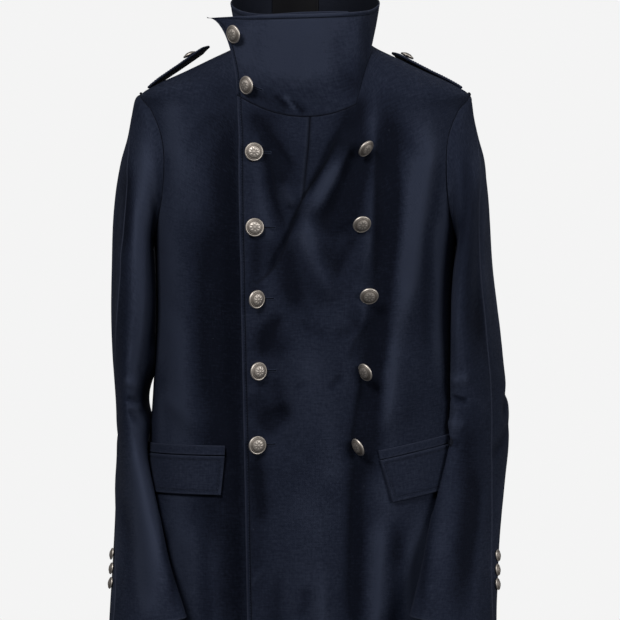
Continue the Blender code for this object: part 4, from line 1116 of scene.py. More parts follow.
def sleeve_point(side, stop, angle):
    """The sleeve's surface: its sections, drawn into the armhole's shape near the shoulder."""
    points = plain_ring(side, stop, angle)
    drawn = armhole_ring(side, angle) - plain_ring(side, 0.0 * stop, angle)
    points = points + drawn * (np.clip(1 - stop / CAP_FADE, 0, 1) ** 2)[..., None]
    return push_off_body(points, stop)


def sleeve_relief(side, points, angle, stop):
    """The sleeve's creases, each on its own side, calm by the armhole and the cuff; only those of
    the inside reach towards the body."""
    x, y, z = side * points[..., 0], points[..., 1], points[..., 2]
    clear_of_body = ease((np.cos(angle) - BODY_SIDE) / BODY_SIDE_FADE)
    shown = {
        "front": (x, ease(np.sin(angle) / SIDE_FADE) * clear_of_body),
        "outside": (y, ease(np.cos(angle) / SIDE_FADE) * clear_of_body),
        "back": (x, ease(-np.sin(angle) / SIDE_FADE) * clear_of_body),
        "inside": (y, ease(-np.cos(angle) / INSIDE_FADE)),
    }
    relief = np.zeros(x.shape)
    for face, crease in SLEEVE_CREASES[side]:
        place, mask = shown[face]
        relief += crease_relief(place, z, (crease,)) * mask
    from_armhole = ease((stop - CREASES_FROM) / CREASES_FROM_FADE)
    return relief * (from_armhole * ease((CREASES_TO - stop) / CREASES_TO_FADE))


def make_sleeve(side, material):
    """The sleeve's front and back pieces, from the seam over the arm to the seam under it."""
    row = stops(SLEEVE_MM, SLEEVE_STEP)
    stop = np.interp(row, SLEEVE_MARKS, np.arange(len(SLEEVE_MARKS)))[:, None]
    seam = np.radians(ring_sizes(side, stop)["seam"])
    t = stops(SLEEVE_GIRTH, SLEEVE_STEP)[None, :] / SLEEVE_GIRTH
    for piece, way in (("front", 1), ("back", -1)):
        angle = seam + way * 1e-6 + (way * np.pi - seam) * t
        stop_here = stop + 0 * angle
        points = sleeve_point(side, stop_here, angle)
        normal = grid_normals(points, side * way)
        normal[0] = normal[2]
        relief = sleeve_relief(side, points, angle, stop_here)
        # Painted light and shade: a share of the creases' relief, and the sleeve's own zones, faded out
        # at its sides.
        painted_shading_tone = crease_relief(side * points[..., 0], points[..., 2], SLEEVE_PAINTED_SHADING[side])
        nap_and_painted_shading = RELIEF_PAINTED_SHADING * relief + ease(np.abs(np.sin(angle)) / SIDE_FADE) * painted_shading_tone
        points = points + normal * relief[..., None]
        points[:, 0] += unit(points[:, 1] - points[:, 0]) * SEAM / 2
        points[:, -1] += unit(points[:, -2] - points[:, -1]) * SEAM / 2
        points[0, :, 0] += side * SEAM
        edges = (("pressed", False), ("seam", False), ("seam", False), ("free", False))
        node = f"sleeve_{piece}_{SIDE_NAMES[side]}"
        cloth = cloth_piece(node, points, edges, side * way, 3 + side, material, nap_and_painted_shading=nap_and_painted_shading)[0]
        lay_sheet(cloth, node)


def line_bell(x, z, line, width):
    """A bell across a bent line of points (x, z, strength), as strong as the line is there."""
    best = np.full(x.shape, 1e9)
    strength = np.zeros(x.shape)
    for (ax, az, a_strength), (bx, bz, b_strength) in zip(line, line[1:]):
        run_x, run_z = bx - ax, bz - az
        t = np.clip(((x - ax) * run_x + (z - az) * run_z) / (run_x**2 + run_z**2), 0, 1)
        away = np.hypot(x - ax - t * run_x, z - az - t * run_z)
        strength = np.where(away < best, a_strength + (b_strength - a_strength) * t, strength)
        best = np.minimum(best, away)
    return strength * bell(best, width)


def sharp_lines(x, z):
    """How deep the sharp lines sink the left front, how much painted shade they lay along
    themselves and how much painted highlight on the ridge beside the dart.
    """
    dark = sum(line_bell(x, z, line, LINE_WIDTH) for line in SHARP_LINES.values())
    beside = [(px + DART_RIDGE["aside"], pz, share) for px, pz, share in SHARP_LINES["sewn dart"]]
    ridge = line_bell(x, z, beside, DART_RIDGE["width"])
    return LINE_DEPTH * dark - DART_RIDGE["rise"] * ridge, dark, DART_RIDGE["pale"] * ridge


def make_front(side, material):
    """One front, the left one lifted off the right one where it lies on it."""
    col = stops(MIDDLE_MM[side] + WRAP_MM, FRONT_STEP, fine=FINE_ACROSS[side])[None, :]
    row = stops(ROW_MARKS[-1], FRONT_STEP, fine=FINE_UP[side])[:, None]
    turn, height = front_place(side, col + 0 * row, row + 0 * col)
    points = body_point(turn, height, side == LEFT, True)
    x, z = points[..., 0], points[..., 2]
    # Painted light and shade: a share of the finer creases' relief, and the front's zones.
    nap_and_painted_shading = RELIEF_PAINTED_SHADING * fine_relief(turn, height) + crease_relief(x, z, FRONT_PAINTED_SHADING)
    if side == LEFT:
        # Painted shade along the sharp lines, a painted highlight beside the dart.
        sunk, dark, pale = sharp_lines(x, z)
    else:
        beside_edge = ease((x - UNDER_SINK_FROM) / UNDER_SINK_FADE)
        sunk = UNDER_SINK * beside_edge - crease_relief(x, z, UNDER_CREASES)
        # The right front also gets painted shade beside the left front's edge.
        nap_and_painted_shading = nap_and_painted_shading + crease_relief(x, z, UNDER_PAINTED_SHADING)
        dark = pale = 0
    points = move_column(points - grid_normals(points, side) * sunk[..., None], -1, -SEAM / 2)
    edges = (("free", side == LEFT), ("seam", False), ("free", False), ("seam", False))
    node = f"front_{SIDE_NAMES[side]}"
    piece, outer, normal = cloth_piece(
        node, points, edges, side, 1 + side, material, dark, pale, nap_and_painted_shading
    )
    lay_sheet(piece, node, outer, normal, ("left",) if side == LEFT else (), 0.0)


def make_back(material):
    """The back, from side seam to side seam."""
    col = stops(BACK_MM, BACK_STEP)[None, :]
    row = stops(ROW_MARKS[-1], BACK_STEP)[:, None]
    turn, height = back_place(col + 0 * row, row + 0 * col)
    points = body_point(turn, height, False, True)
    folds = body_radius(turn, height) - plain_radius(turn, height)
    # Painted light and shade from the back's folds and creases: paler on their ridges, darker in their
    # hollows.
    nap_and_painted_shading = RELIEF_PAINTED_SHADING * (fine_relief(turn, height) + 0.5 * folds)
    points = move_column(move_column(points, 0, SEAM / 2), -1, SEAM / 2)
    edges = (("seam", False), ("seam", False), ("free", False), ("seam", False))
    lay_sheet(cloth_piece("back", points, edges, 1, 7, material, nap_and_painted_shading=nap_and_painted_shading)[0], "back")


def neck_line():
    """The neckline in the collar's order: angles in degrees, and points that lie COLLAR_SINK below
    the panels' top edges, along the panels."""
    top = float(ROW_MARKS[-1])
    right = stops(MIDDLE_MM[RIGHT] + WRAP_MM)
    left = stops(MIDDLE_MM[LEFT] + WRAP_MM)
    across = stops(BACK_MM)
    rows = (
        (*front_place(RIGHT, right, top + 0 * right), False, 0),
        (*(line[::-1] for line in back_place(across, top + 0 * across)), False, 360),
        (*(line[::-1] for line in front_place(LEFT, left, top + 0 * left)), True, 360),
    )
    around, edge, normal = [], [], []
    for n, (turn, height, lifted, whole) in enumerate(rows):
        start = 1 if n else 0
        around.append((np.degrees(turn) - whole)[start:])
        edge.append(body_point(turn, height, lifted)[start:])
        normal.append(body_normal(turn, height)[start:])
    around, edge, normal = (np.concatenate(parts) for parts in (around, edge, normal))
    away = unit(np.cross(np.gradient(edge, axis=0), normal))
    return around[::-1], (edge - COLLAR_SINK * away)[::-1]


def collar_point(around, up):
    """The collar's surface: straight from the neckline to its top, its free end drawn to a corner."""
    turn = np.radians(around)
    base = np.stack([np.interp(around, NECK_AROUND, NECK_POINTS[:, i]) for i in range(3)], axis=-1)
    start, end = COLLAR_LIFT_RANGE
    lift = COLLAR_LIFT * ease((start - around) / (start - end))
    reach = curve(around, COLLAR["around"], COLLAR["top_reach"]) + lift
    height = curve(around, COLLAR["around"], COLLAR["top_height"])
    top = np.stack([reach * np.sin(turn), -reach * np.cos(turn), height], axis=-1)
    plain = base + (top - base) * up[..., None]
    freed = ease((COLLAR_TIP_FROM - around) / (COLLAR_TIP_FROM - NECK_AROUND[0]))
    drawn = freed * np.maximum(up, 0) ** COLLAR_TIP_POWER
    return plain + (np.array(COLLAR_TIP) - plain) * drawn[..., None]


def collar_normal(around, up):
    """The collar's outward direction: the cross product of its slopes round and up."""
    small, small_turn = 0.01, 0.5
    across = collar_point(around + small_turn, up) - collar_point(around - small_turn, up)
    rise = collar_point(around, up + small) - collar_point(around, up - small)
    return unit(np.cross(across, rise))


def make_collar(material):
    """The collar, one strip that laps over itself in front."""
    up = (stops(COLLAR_MM, COLLAR_STEP) / COLLAR_MM)[:, None]
    around, up = np.broadcast_arrays(NECK_AROUND[None, :], up)
    points = collar_point(around, up)
    outer_lap = ease((COLLAR_LAP_FROM - around) / COLLAR_LAP_FADE)
    creases = crease_relief(points[..., 0], points[..., 2], COLLAR_CREASES) * outer_lap
    tall, count, shift = COLLAR_WAVE
    soft = tall * np.sin(np.radians(around) * count + shift) * np.sin(np.pi * up)
    relief = (creases + soft * (outer_lap < 0.5)) * ease(up / COLLAR_CALM)
    points = points + grid_normals(points, 1) * relief[..., None]
    edges = (("free", True), ("free", False), ("set in", False), ("free", True))
    # Painted light and shade: a share of the creases' relief, and the collar's zones on its outer lap.
    painted_shading_tone = crease_relief(points[..., 0], points[..., 2], COLLAR_PAINTED_SHADING)
    nap_and_painted_shading = RELIEF_PAINTED_SHADING * creases + painted_shading_tone * outer_lap
    piece, outer, normal = cloth_piece("collar", points, edges, 1, 5, material, nap_and_painted_shading=nap_and_painted_shading)
    lay_sheet(piece, "collar", outer, normal, ("left", "top"))


def shoulder_height(x, y):
    """The height of the body's upper surface over a point of the plan, found by halving."""
    turn, reach = np.arctan2(x, -y), np.hypot(x, y)
    low, high = (np.full(reach.shape, level) for level in SHOULDER_SEARCH)
    for _ in range(HALVINGS):
        middle = (low + high) / 2
        outside = body_radius(turn, middle) < reach
        high = np.where(outside, middle, high)
        low = np.where(outside, low, middle)
    return turn, (low + high) / 2


def lay_patch(node, below, normal, thick, sewn, seed, material):
    """A small piece of cloth over its lower face: its upper face drops at its edges and where it is
    sewn, and its lower face rises at the edges."""
    above = below + thick * normal
    runs = edge_runs(above)
    distance, along = np.minimum.reduce(runs), runs[0] + runs[2]
    rounded = rounding(distance, thick * PATCH_ROUND)
    line, pull = stitch_sink(distance, along, seed, PATCH_DEEP) if sewn else (0, 0)
    drop = rounded + pull + PATCH_PUCKER * puckers(along, seed)
    fitted = above - normal * drop[..., None]
    # Wear and a painted highlight by the edges, painted shade on the stitching.
    wear_and_painted_highlight = PATCH_WEAR_AND_HIGHLIGHT * bell(distance, PATCH_WEAR_AND_HIGHLIGHT_REACH)
    marks = {"wear_and_painted_highlight": (wear_and_painted_highlight, 0), "shaded": (PATCH_SHADE * line, 0)}
    lower = below + normal * rounded[..., None]
    patch = wall_piece(node, fitted, fitted, lower, marks, "wool", material)
    lay_sheet(patch, node, fitted, normal, sewn)


def strap_faces(side, t, across):
    """A strap's lower face, t from its outer end to its point, and its directions."""
    inner_end = STRAP_INNER[side] + STRAP_POINT * np.abs(across)
    x = STRAP_OUTER + (inner_end - STRAP_OUTER) * t
    turn, height = shoulder_height(side * x, STRAP_HALF_WIDTH * across + 0 * x)
    normal = body_normal(turn, height)
    flat, raised = STRAP_LIFT[side]
    lift = flat + (raised - flat) * t**STRAP_RISE
    return body_point(turn, height) + normal * lift[..., None], normal


def make_strap(side, material):
    """A shoulder strap, from the sleeve's seam to its pointed end beside the collar."""
    length = STRAP_OUTER - STRAP_INNER[side]
    t = (stops(length, STRAP_STEPS[0]) / length)[:, None]
    across = (stops(2 * STRAP_HALF_WIDTH, STRAP_STEPS[1]) / STRAP_HALF_WIDTH - 1)[None, :]
    below, normal = strap_faces(side, *np.broadcast_arrays(t, across))
    lay_patch(f"epaulette_{SIDE_NAMES[side]}", below, normal, STRAP_THICK, ("left", "right", "top"),
              4 + side, material)


def on_front(side, x, z, lift):
    """Points at x and z on a front's surface, moved out by a lift, and the outward directions."""
    turn = turn_of_x(x, z)
    normal = body_normal(turn, z)
    return body_point(turn, z, side == LEFT) + normal * np.asarray(lift)[..., None], normal


def make_patch(node, side, corners, thick, stitched, material):
    """A flat piece on a front, between the ends of its top edge and of its foot; a flap's foot
    stands off a little more than its top."""
    (top_in, top_out), (foot_in, foot_out) = corners["top"], corners["foot"]
    width, tall = abs(top_in[0] - top_out[0]) * PATCH_WRAP, abs(top_in[1] - foot_in[1])
    s = (stops(width, PATCH_STEP) / width)[None, :]
    t = (stops(tall, PATCH_STEP, NEAR_EDGE if stitched else NEAR_NARROW) / tall)[:, None]
    spread = np.sin(s * np.pi / 2) ** 0.8
    x, z = (
        (1 - t) * (top_in[i] + (top_out[i] - top_in[i]) * spread)
        + t * (foot_in[i] + (foot_out[i] - foot_in[i]) * spread)
        for i in range(2)
    )
    hang = (FLAP_HANG * t**2 * (1 + 0.4 * np.sin(s * 7))) if stitched else 0
    below, normal = on_front(side, x, z, ON_PANEL + hang + 0 * x)
    lay_patch(node, below, normal, thick, ("left", "top") if stitched else (), 2 + side, material)


def make_pockets(side, material):
    """A flap and the welt above it."""
    name = SIDE_NAMES[side]
    make_patch(f"pocket_flap_{name}", side, FLAPS[side], CLOTH, True, material)
    make_patch(f"pocket_welt_{name}", side, WELTS[side], WELT_THICK, False, material)


def make_label(material):
    """The bare patch inside the back of the collar, found on the collar by stepping towards x and z."""
    width, tall = LABEL["to_x"] - LABEL["from_x"], LABEL["top"] - LABEL["foot"]
    x = LABEL["from_x"] + stops(width, LABEL_STEP, NEAR_LABEL)[None, :]
    height = LABEL["foot"] + stops(tall, LABEL_STEP, NEAR_LABEL)[:, None]
    around = np.full(np.broadcast(x, height).shape, -180.0)
    up = np.full(around.shape, 0.5)
    for _ in range(LABEL_TRIES):
        point = collar_point(around, up)
        around = around + np.degrees((point[..., 0] - x) / LABEL_REACH[0])
        up = up + (height - point[..., 2]) / LABEL_REACH[1]
    normal = collar_normal(around, up)
    back = collar_point(around, up) - normal * (CLOTH + LABEL_OFF)
    front = back - LABEL_THICK * normal
    distance = np.minimum.reduce(edge_runs(front))
    stitch = LABEL_STITCH["deep"] * bell(distance - LABEL_STITCH["in"], LABEL_STITCH["wide"])
    drop = rounding(distance, LABEL_THICK * LABEL_ROUND) + stitch
    # Wear and a painted highlight by the edges.
    marks = {"wear_and_painted_highlight": (bell(distance, LABEL_WEAR_AND_HIGHLIGHT_REACH), 0), "shaded": (0, 0)}
    fitted = front + normal * drop[..., None]
    label = wall_piece("neck_label", fitted, fitted, back, marks, "label_satin", material)
    lay_sheet(label, "neck_label")


def make_buttonhole(name, surface, start, end, material):
    """A sewn buttonhole along a surface, from start to end: a slit inside a raised ring of thread
    that widens to an eye at its end. surface gives points and directions for two lengths."""
    spokes, rows = BUTTONHOLE_SPOKES, len(BUTTONHOLE_RINGS)
    angle = np.linspace(0, 2 * np.pi, spokes, endpoint=False)[None, :]
    reach, rise, dark = (np.array(column)[:, None] for column in zip(*BUTTONHOLE_RINGS))
    half = BUTTONHOLE_HALF
    middle, straight = (start + end) / 2, (end - start) / 2 - half
    along = middle + straight * np.tanh(3 * np.cos(angle)) + reach * half * np.cos(angle)
    eye = 1 + BUTTONHOLE_EYE * ease((along - (end - EYE_FROM)) / EYE_FADE)
    across = reach * half * eye * np.sin(angle)
    rise = rise * (1 + BUTTONHOLE_RIBS * np.cos(spokes / 2 * angle))
    place, normal = surface(along, across)
    points = place + normal * rise[..., None]
    ends = np.stack([np.arange(spokes // 2 - 1), np.arange(1, spokes // 2),
                     np.arange(spokes - 2, spokes // 2 - 1, -1),
                     np.arange(spokes - 1, spokes // 2, -1)], axis=1)
    faces = np.concatenate([ring_faces(rows, spokes), ends[:, ::-1], ends + (rows - 1) * spokes])
    # Painted shade in the slit and where the ring meets the cloth.
    marks = [("shaded", (dark + 0 * along).ravel())]
    belong(make_mesh(name, points.reshape(-1, 3), faces, material, None, marks), "wool")


def make_buttonholes(material):
    """One beside each button of the wearer's right column, and beside both collar buttons."""
    for number, (x, z, *_) in enumerate(RIGHT_BUTTONS, 1):
        def on_cloth(along, across, x=x, z=z):
            turn = turn_of_x(x + along, z + across)
            return body_point(turn, z + across, True, True), body_normal(turn, z + across)
        make_buttonhole(f"buttonhole_front_{number}", on_cloth, *BUTTONHOLE_REACH, material)
    for number, (around, up, *_) in enumerate(COLLAR_BUTTONS, 1):
        def on_collar(along, across, around=around, up=up):
            places = around + np.degrees(along / COLLAR_RADIUS), up + across / COLLAR_MM
            return collar_point(*places), collar_normal(*places)
        make_buttonhole(f"buttonhole_collar_{number}", on_collar, *COLLAR_HOLE_REACH, material)


def button_profile(rings):
    """A button's half section as radius and height for a width of 1, from the crown's middle over
    the rim and back along the shank, and how much of it is the decorated face."""
    radius = np.linspace(0, 0.5, rings)
    height = BUTTON_CROWN - BUTTON_DOME * radius**2
    for at, wide, tall in BUTTON_RIM_RINGS:
        height = height + tall * bell(radius - at, wide)
    height[-1] = BUTTON_RIM_END
    edge = np.array(BUTTON_EDGE)
    face = np.concatenate([np.ones(rings), np.zeros(len(edge))])
    return np.concatenate([radius, edge[:, 0]]), np.concatenate([height, edge[:, 1]]), face


def button_surface(rings, spokes):
    """A button for a width of 1: a domed face with a smooth raised rim, a roped ring inside it and
    eight leaves round a small boss, all heights added to the dome; and how hollow each point is."""
    r, height, face = (values[:, None] for values in button_profile(rings))
    angle = np.linspace(0, 2 * np.pi, spokes, endpoint=False)[None, :]
    ring = {name: tall * bell(r - at, wide) for name, (at, wide, tall) in BUTTON_RELIEF.items()}
    slant = ROPE_TURNS * angle + ROPE_SLANT * (r - BUTTON_RELIEF["rope"][0])
    rope = ring["rope"] * (0.55 + 0.45 * np.cos(slant))
    leaves = ring["leaves"] * np.abs(np.cos(4 * angle)) ** 0.8
    vein = ring["veins"] * bell(np.sin(4 * angle), VEIN_WIDE)
    small = ring["small leaves"] * np.abs(np.sin(4 * angle)) ** 3
    relief = (rope + leaves + vein + small + (ring["boss"] + ring["round the boss"])) * face
    hollow = face * np.clip(1.15 - relief / HOLLOW_BELOW, 0, 1) * (r < HOLLOW_INSIDE) + 0 * angle
    points = np.stack([r * np.cos(angle), r * np.sin(angle), height + relief + 0 * angle], axis=-1)
    return points, hollow


def lean_axes(direction, lean):
    """The button's own three axes when it leans sideways and downwards from a direction, in degrees."""
    side, down = (math.radians(value) for value in lean)
    across = unit(np.cross((0.0, 0.0, 1.0), direction))
    upward = np.cross(direction, across)
    axis = unit(direction + across * math.tan(side) - upward * math.tan(down))
    first = unit(np.cross(upward, axis))
    return first, np.cross(axis, first), axis


def make_button(node, place, direction, width, material, lean=None, off=BUTTON_OFF, fine=True):
    """One button: the unit button scaled to its width and seated off the cloth, facing the way the
    cloth does or, where a lean is given, leaning that far from straight ahead."""
    points, hollow = BUTTON_FORMS[fine]
    first, second, axis = lean_axes(STRAIGHT_AHEAD, lean) if lean else lean_axes(direction, (0, 0))
    tilt = math.acos(np.clip(np.dot(axis, direction), -1, 1))
    lowest = min(z * math.cos(tilt) - r * math.sin(tilt) for r, z in BUTTON_OUTLINE) * width
    turned = np.asarray(place) + np.asarray(direction) * (off - lowest) + width * (
        points[..., :1] * first + points[..., 1:2] * second + points[..., 2:] * axis
    )
    rows, spokes = points.shape[:2]
    count = rows * spokes
    everything = np.concatenate(
        [turned.reshape(-1, 3), [turned[0].mean(axis=0), turned[-1].mean(axis=0)]]
    )
    ring = np.arange(spokes)
    following = (ring + 1) % spokes
    cap = np.stack([following, ring, 0 * ring + count], axis=1)
    last = count - spokes
    foot = np.stack([ring + last, following + last, 0 * ring + count + 1], axis=1)
    faces = ring_faces(rows, spokes).tolist() + cap.tolist() + foot.tolist()
    marks = [("hollow", np.concatenate([hollow.ravel(), [hollow[0].mean(), 0]]))]
    belong(link_mesh(node + "_metal", everything, faces, material, marks), "button_metal", node)


def make_buttons(material):
    """Both front columns, the collar's two, the straps' and the cuffs'."""
    for name, rows in (("right", RIGHT_BUTTONS), ("left", LEFT_BUTTONS)):
        for number, (x, z, lean_side, lean_down, off) in enumerate(rows, 1):
            point, normal = on_front(LEFT, np.array(float(x)), np.array(float(z)), 0.0)
            make_button(f"button_front_{name}_{number}", point, normal, BUTTON_WIDE, material,
                        (lean_side, lean_down), off)
    for number, (around, up, lean_side, lean_down) in enumerate(COLLAR_BUTTONS, 1):
        around, up = np.array(float(around)), np.array(float(up))
        make_button(f"button_collar_{number}", collar_point(around, up), collar_normal(around, up),
                    BUTTON_WIDE, material, (lean_side, lean_down), 0.0)
    for side in (LEFT, RIGHT):
        name = SIDE_NAMES[side]
        below, normal = strap_faces(side, np.array(STRAP_BUTTON_AT[side]), np.array(0.0))
        place = below + STRAP_THICK * normal
        make_button(f"button_epaulette_{name}", place, normal, BUTTON_STRAP, material)
        for number, stop in enumerate(CUFF_BUTTON_STOPS, 1):
            stop = np.array(stop)
            angle = np.radians(ring_sizes(side, stop)["seam"] - CUFF_BUTTON_BEHIND)
            turn, step = 0.004, 0.016
            along = sleeve_point(side, stop + step, angle) - sleeve_point(side, stop - step, angle)
            round_it = sleeve_point(side, stop, angle + turn) - sleeve_point(side, stop, angle - turn)
            normal = side * unit(np.cross(round_it, along))
            make_button(f"button_cuff_{name}_{number}", sleeve_point(side, stop, angle), normal,
                        BUTTON_SMALL, material, fine=False)


def feed(tree, node, inputs):
    """Sets a node's inputs, by name or number, each to a fixed value or to the socket that feeds it."""
    for name, value in inputs.items():
        if isinstance(value, bpy.types.NodeSocket):
            tree.links.new(value, node.inputs[name])
        else:
            node.inputs[name].default_value = value


def add_node(tree, kind, inputs, **settings):
    """A new shader node with its settings and inputs; gives its outputs."""
    made = tree.nodes.new("ShaderNode" + kind)
    for name, value in settings.items():
        setattr(made, name, value)
    feed(tree, made, inputs)
    return made.outputs


def new_material(name):
    """An empty node material, its node tree and its shader."""
    material = bpy.data.materials.new(name)
    material.use_nodes = True
    return material, material.node_tree, material.node_tree.nodes["Principled BSDF"]


def add_share(tree, base, value, share, clamp=False):
    """The base plus a share of a value, held between 0 and 1 where clamp says so."""
    return add_node(tree, "Math", {0: value, 1: share, 2: base}, operation="MULTIPLY_ADD",
                    use_clamp=clamp)[0]


def weave_group():
    """The cloth's own effect: a fine twill under a short nap, as a colour mask and a height."""
    group = bpy.data.node_groups.new("woollen_twill", "ShaderNodeTree")
    for name, value in (("Rib Scale", 420.0), ("Nap Scale", 260.0)):
        socket = group.interface.new_socket(name, in_out="INPUT", socket_type="NodeSocketFloat")
        socket.default_value = value
    for name in ("Mask", "Height", "Lint"):
        group.interface.new_socket(name, in_out="OUTPUT", socket_type="NodeSocketFloat")
    entry = group.nodes.new("NodeGroupInput").outputs
    leave = group.nodes.new("NodeGroupOutput")
    place = add_node(group, "UVMap", {}, uv_map="cloth")["UV"]
    ribs = {"Vector": place, "Scale": entry["Rib Scale"], "Distortion": 1.2, "Detail": 1.0}
    rib = add_node(group, "TexWave", ribs, bands_direction="DIAGONAL")["Fac"]
    hairs = {"Vector": place, "Scale": entry["Nap Scale"], "Detail": 4.0, "Roughness": 0.65}
    nap_and_painted_shading = add_node(group, "TexNoise", hairs)["Fac"]
    cloud = add_node(group, "TexNoise", {"Vector": place, "Scale": 16.0, "Detail": 3.0})["Fac"]
    lint = add_node(group, "TexVoronoi", {"Vector": place, "Scale": 34.0})["Distance"]
    specks = {"Value": lint, "From Min": 0.0, "From Max": 0.022, "To Min": 1.0, "To Max": 0.0}
    mask = add_share(group, nap_and_painted_shading, cloud, 0.55)
    mask = add_share(group, mask, rib, 0.12)
    for stretch, share in SLUBS:
        drawn = add_node(group, "Mapping", {"Vector": place, "Scale": stretch})["Vector"]
        slub = add_node(group, "TexNoise", {"Vector": drawn, "Scale": 1.0, "Detail": 2.0})["Fac"]
        mask = add_share(group, mask, slub, share)
    feed(group, leave, {
        "Height": add_share(group, rib, nap_and_painted_shading, 1.4),
        "Mask": mask,
        "Lint": add_node(group, "MapRange", specks)["Result"],
    })
    return group


def point_number(tree, name):
    """The number that a mesh has for each of its points under a name."""
    return add_node(tree, "Attribute", {}, attribute_name=name)["Fac"]


def object_noise(tree, scale, detail):
    """Fine noise that lies still on the object."""
    place = add_node(tree, "TexCoord", {})["Object"]
    return add_node(tree, "TexNoise", {"Vector": place, "Scale": scale, "Detail": detail})["Fac"]


def woven(tree, group, strength, depth, scales):
    """The weave in a material: its outputs, its tone from 0 to 1 and its bump as a normal."""
    weave = add_node(tree, "Group", scales, node_tree=group)
    tone = {"Value": weave["Mask"], "From Min": 0.66, "From Max": 2.02}
    bump = {"Height": weave["Height"], "Strength": strength, "Distance": depth}
    tone = add_node(tree, "MapRange", tone)["Result"]
    return weave, tone, add_node(tree, "Bump", bump)["Normal"]


def ramp(tree, value, colours):
    """A colour ramp over a value, from pairs of position and colour."""
    made = tree.nodes.new("ShaderNodeValToRGB")
    elements = made.color_ramp.elements
    for n, (position, colour) in enumerate(colours):
        element = elements[n] if n < 2 else elements.new(position)
        element.position = position
        element.color = (*colour, 1)
    feed(tree, made, {"Fac": value})
    return made.outputs["Color"]


def mix(tree, share, first, second):
    """A mix of two colours by a share."""
    return add_node(tree, "Mix", {0: share, 6: first, 7: second}, data_type="RGBA")[2]


def wool_material(group):
    """Dark navy woollen cloth: twill and nap in colour and bump, with painted light and shade over
    it, paler at the edges by wear and a painted highlight, and darker by painted shade in its
    seams, stitching and sharp creases.
    """
    material, tree, shader = new_material("navy_wool_cloth")
    weave, tone, bump = woven(tree, group, 0.6, 0.0005, {})
    # The ramp is read at the weave's tone plus the painted light and shade.
    painted_shading_tone = add_share(tree, tone, point_number(tree, "nap_and_painted_shading"), 0.55, True)
    wear_and_painted_highlight = {0: point_number(tree, "wear_and_painted_highlight"), 1: 0.55}
    shaded = point_number(tree, "shaded")
    colour = ramp(tree, painted_shading_tone, WOOL_TONES)
    # Mixed over it: wear and a painted highlight at the edges, painted shade in seams, stitching and
    # sharp creases, lint specks, and the lining.
    for share, over in (
        (add_node(tree, "Math", wear_and_painted_highlight, operation="MULTIPLY")[0], (0.040, 0.046, 0.070, 1)),
        (shaded, SHADED_CLOTH),
        (weave["Lint"], (0.10, 0.11, 0.14, 1)),
        (point_number(tree, "lining"), (0.0030, 0.0032, 0.0045, 1)),
    ):
        colour = mix(tree, share, colour, over)
    rough = add_node(tree, "MapRange", {"Value": painted_shading_tone, "To Min": 0.85, "To Max": 0.5})["Result"]
    feed(tree, shader, {
        "Base Color": colour,
        "Roughness": add_node(tree, "Math", {0: rough, 1: shaded}, operation="MAXIMUM")[0],
        "Specular IOR Level": 0.24,
        "Specular Tint": NAVY_GLEAM,
        "Sheen Weight": 0.02,
        "Sheen Roughness": 0.45,
        "Sheen Tint": (0.62, 0.70, 1.0, 1.0),
        "Normal": bump,
    })
    return material


def satin_material(group):
    """The label's plain black satin: the same weave, finer and smoother."""
    material, tree, shader = new_material("black_satin_label")
    scales = {"Rib Scale": 900.0, "Nap Scale": 600.0}
    _, tone, bump = woven(tree, group, 0.2, 0.0002, scales)
    colour = ramp(tree, tone, SATIN_TONES)
    feed(tree, shader, {
        "Base Color": colour, "Roughness": 0.6, "Specular IOR Level": 0.08, "Normal": bump,
    })
    return material


def thread_material():
    """The sewing thread: the cloth's navy, a little paler and smoother, darkened by painted shade
    in a buttonhole's slit.
    """
    material, tree, shader = new_material("navy_sewing_thread")
    colour = ramp(tree, object_noise(tree, 900.0, 2.0), THREAD_TONES)
    feed(tree, shader, {
        "Base Color": mix(tree, point_number(tree, "shaded"), colour, SHADED_CLOTH),
        "Roughness": 0.6,
        "Specular IOR Level": 0.2,
        "Specular Tint": NAVY_GLEAM,
    })
    return material


def silver_material():
    """Aged silver: bright on the relief, dark and duller in its hollows, with faint handling marks."""
    material, tree, shader = new_material("aged_silver_buttons")
    hollow = {0: point_number(tree, "hollow"), 1: 0.25}
    hollow = add_node(tree, "Math", hollow, operation="SUBTRACT")[0]
    share = add_share(tree, hollow, object_noise(tree, 700.0, 4.0), 0.5, True)
    rough = {"Value": share, "To Min": 0.52, "To Max": 0.68}
    feed(tree, shader, {
        "Base Color": mix(tree, share, (0.66, 0.60, 0.54, 1), (0.25, 0.22, 0.195, 1)),
        "Roughness": add_node(tree, "MapRange", rough)["Result"],
        "Metallic": 1.0,
    })
    return material


def area_light(name, place, size, power, mirrored):
    """A square soft light at a place, turned to shine on the coat's middle."""
    light = bpy.data.lights.new(name, "AREA")
    light.shape = "SQUARE"
    light.size = size
    light.energy = power
    made = bpy.data.objects.new(name, light)
    made.location = place
    made.rotation_euler = (Vector(place) - Vector(LIGHT_AIM)).to_track_quat("Z", "Y").to_euler()
    made.visible_glossy = mirrored
    bpy.context.scene.collection.objects.link(made)


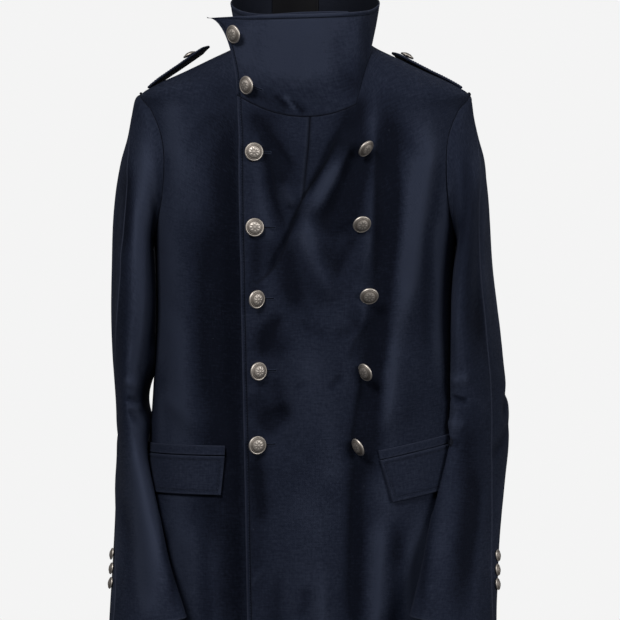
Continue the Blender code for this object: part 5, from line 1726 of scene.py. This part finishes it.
def make_studio():
    """The camera, level and 3 m in front, a pale round floor and soft lights from the front left."""
    scene = bpy.context.scene
    lens = bpy.data.cameras.new("photo_camera")
    camera = bpy.data.objects.new("photo_camera", lens)
    scene.collection.objects.link(camera)
    camera.location = CAMERA["place"]
    camera.rotation_euler = (math.pi / 2, 0, 0)
    lens.sensor_width = CAMERA["sensor"]
    lens.lens = CAMERA["sensor"] * -CAMERA["place"][1] / CAMERA["field"]
    scene.camera = camera
    scene.view_settings.view_transform = "Standard"
    scene.world = bpy.data.worlds.new("studio")
    scene.world.use_nodes = True
    tree = scene.world.node_tree
    seen = tree.nodes["Background"]
    feed(tree, seen, {"Color": (0.905, 0.905, 0.905, 1)})
    lit = add_node(tree, "Background", {"Color": (0.95, 0.97, 1.0, 1), "Strength": 0.10})[0]
    looked_at = add_node(tree, "LightPath", {})["Is Camera Ray"]
    blend = add_node(tree, "MixShader", {0: looked_at, 1: lit, 2: seen.outputs[0]})[0]
    feed(tree, tree.nodes["World Output"], {"Surface": blend})
    for row in LIGHTS:
        area_light(*row)
    angle = np.linspace(0, 2 * np.pi, FLOOR_CORNERS, endpoint=False)
    rim = np.stack([FLOOR_RADIUS * np.cos(angle), FLOOR_RADIUS * np.sin(angle), 0 * angle], axis=1)
    rim[:, 2] = HEM * MM - FLOOR_DROP
    mesh = bpy.data.meshes.new("floor")
    mesh.from_pydata(rim.tolist(), [], [list(range(FLOOR_CORNERS))])
    floor = bpy.data.objects.new("floor", mesh)
    scene.collection.objects.link(floor)
    material, tree, shader = new_material("pale_floor")
    feed(tree, shader, {
        "Base Color": (0.86, 0.86, 0.86, 1),
        "Roughness": 0.7,
        "Emission Color": (1, 1, 1, 1),
        "Emission Strength": 0.35,
    })
    mesh.materials.append(material)
    floor.visible_glossy = floor.visible_diffuse = False


make_studio()
twill = weave_group()
wool = wool_material(twill)
satin = satin_material(twill)
silver = silver_material()
wool_thread = thread_material()
NECK_AROUND, NECK_POINTS = neck_line()
BUTTON_FORMS = {fine: button_surface(*size) for fine, size in BUTTON_GRIDS.items()}

make_front(RIGHT, wool)
make_front(LEFT, wool)
make_back(wool)
make_collar(wool)
for which in (RIGHT, LEFT):
    make_sleeve(which, wool)
    make_strap(which, wool)
    make_pockets(which, wool)
make_label(satin)
make_buttonholes(wool_thread)
make_buttons(silver)
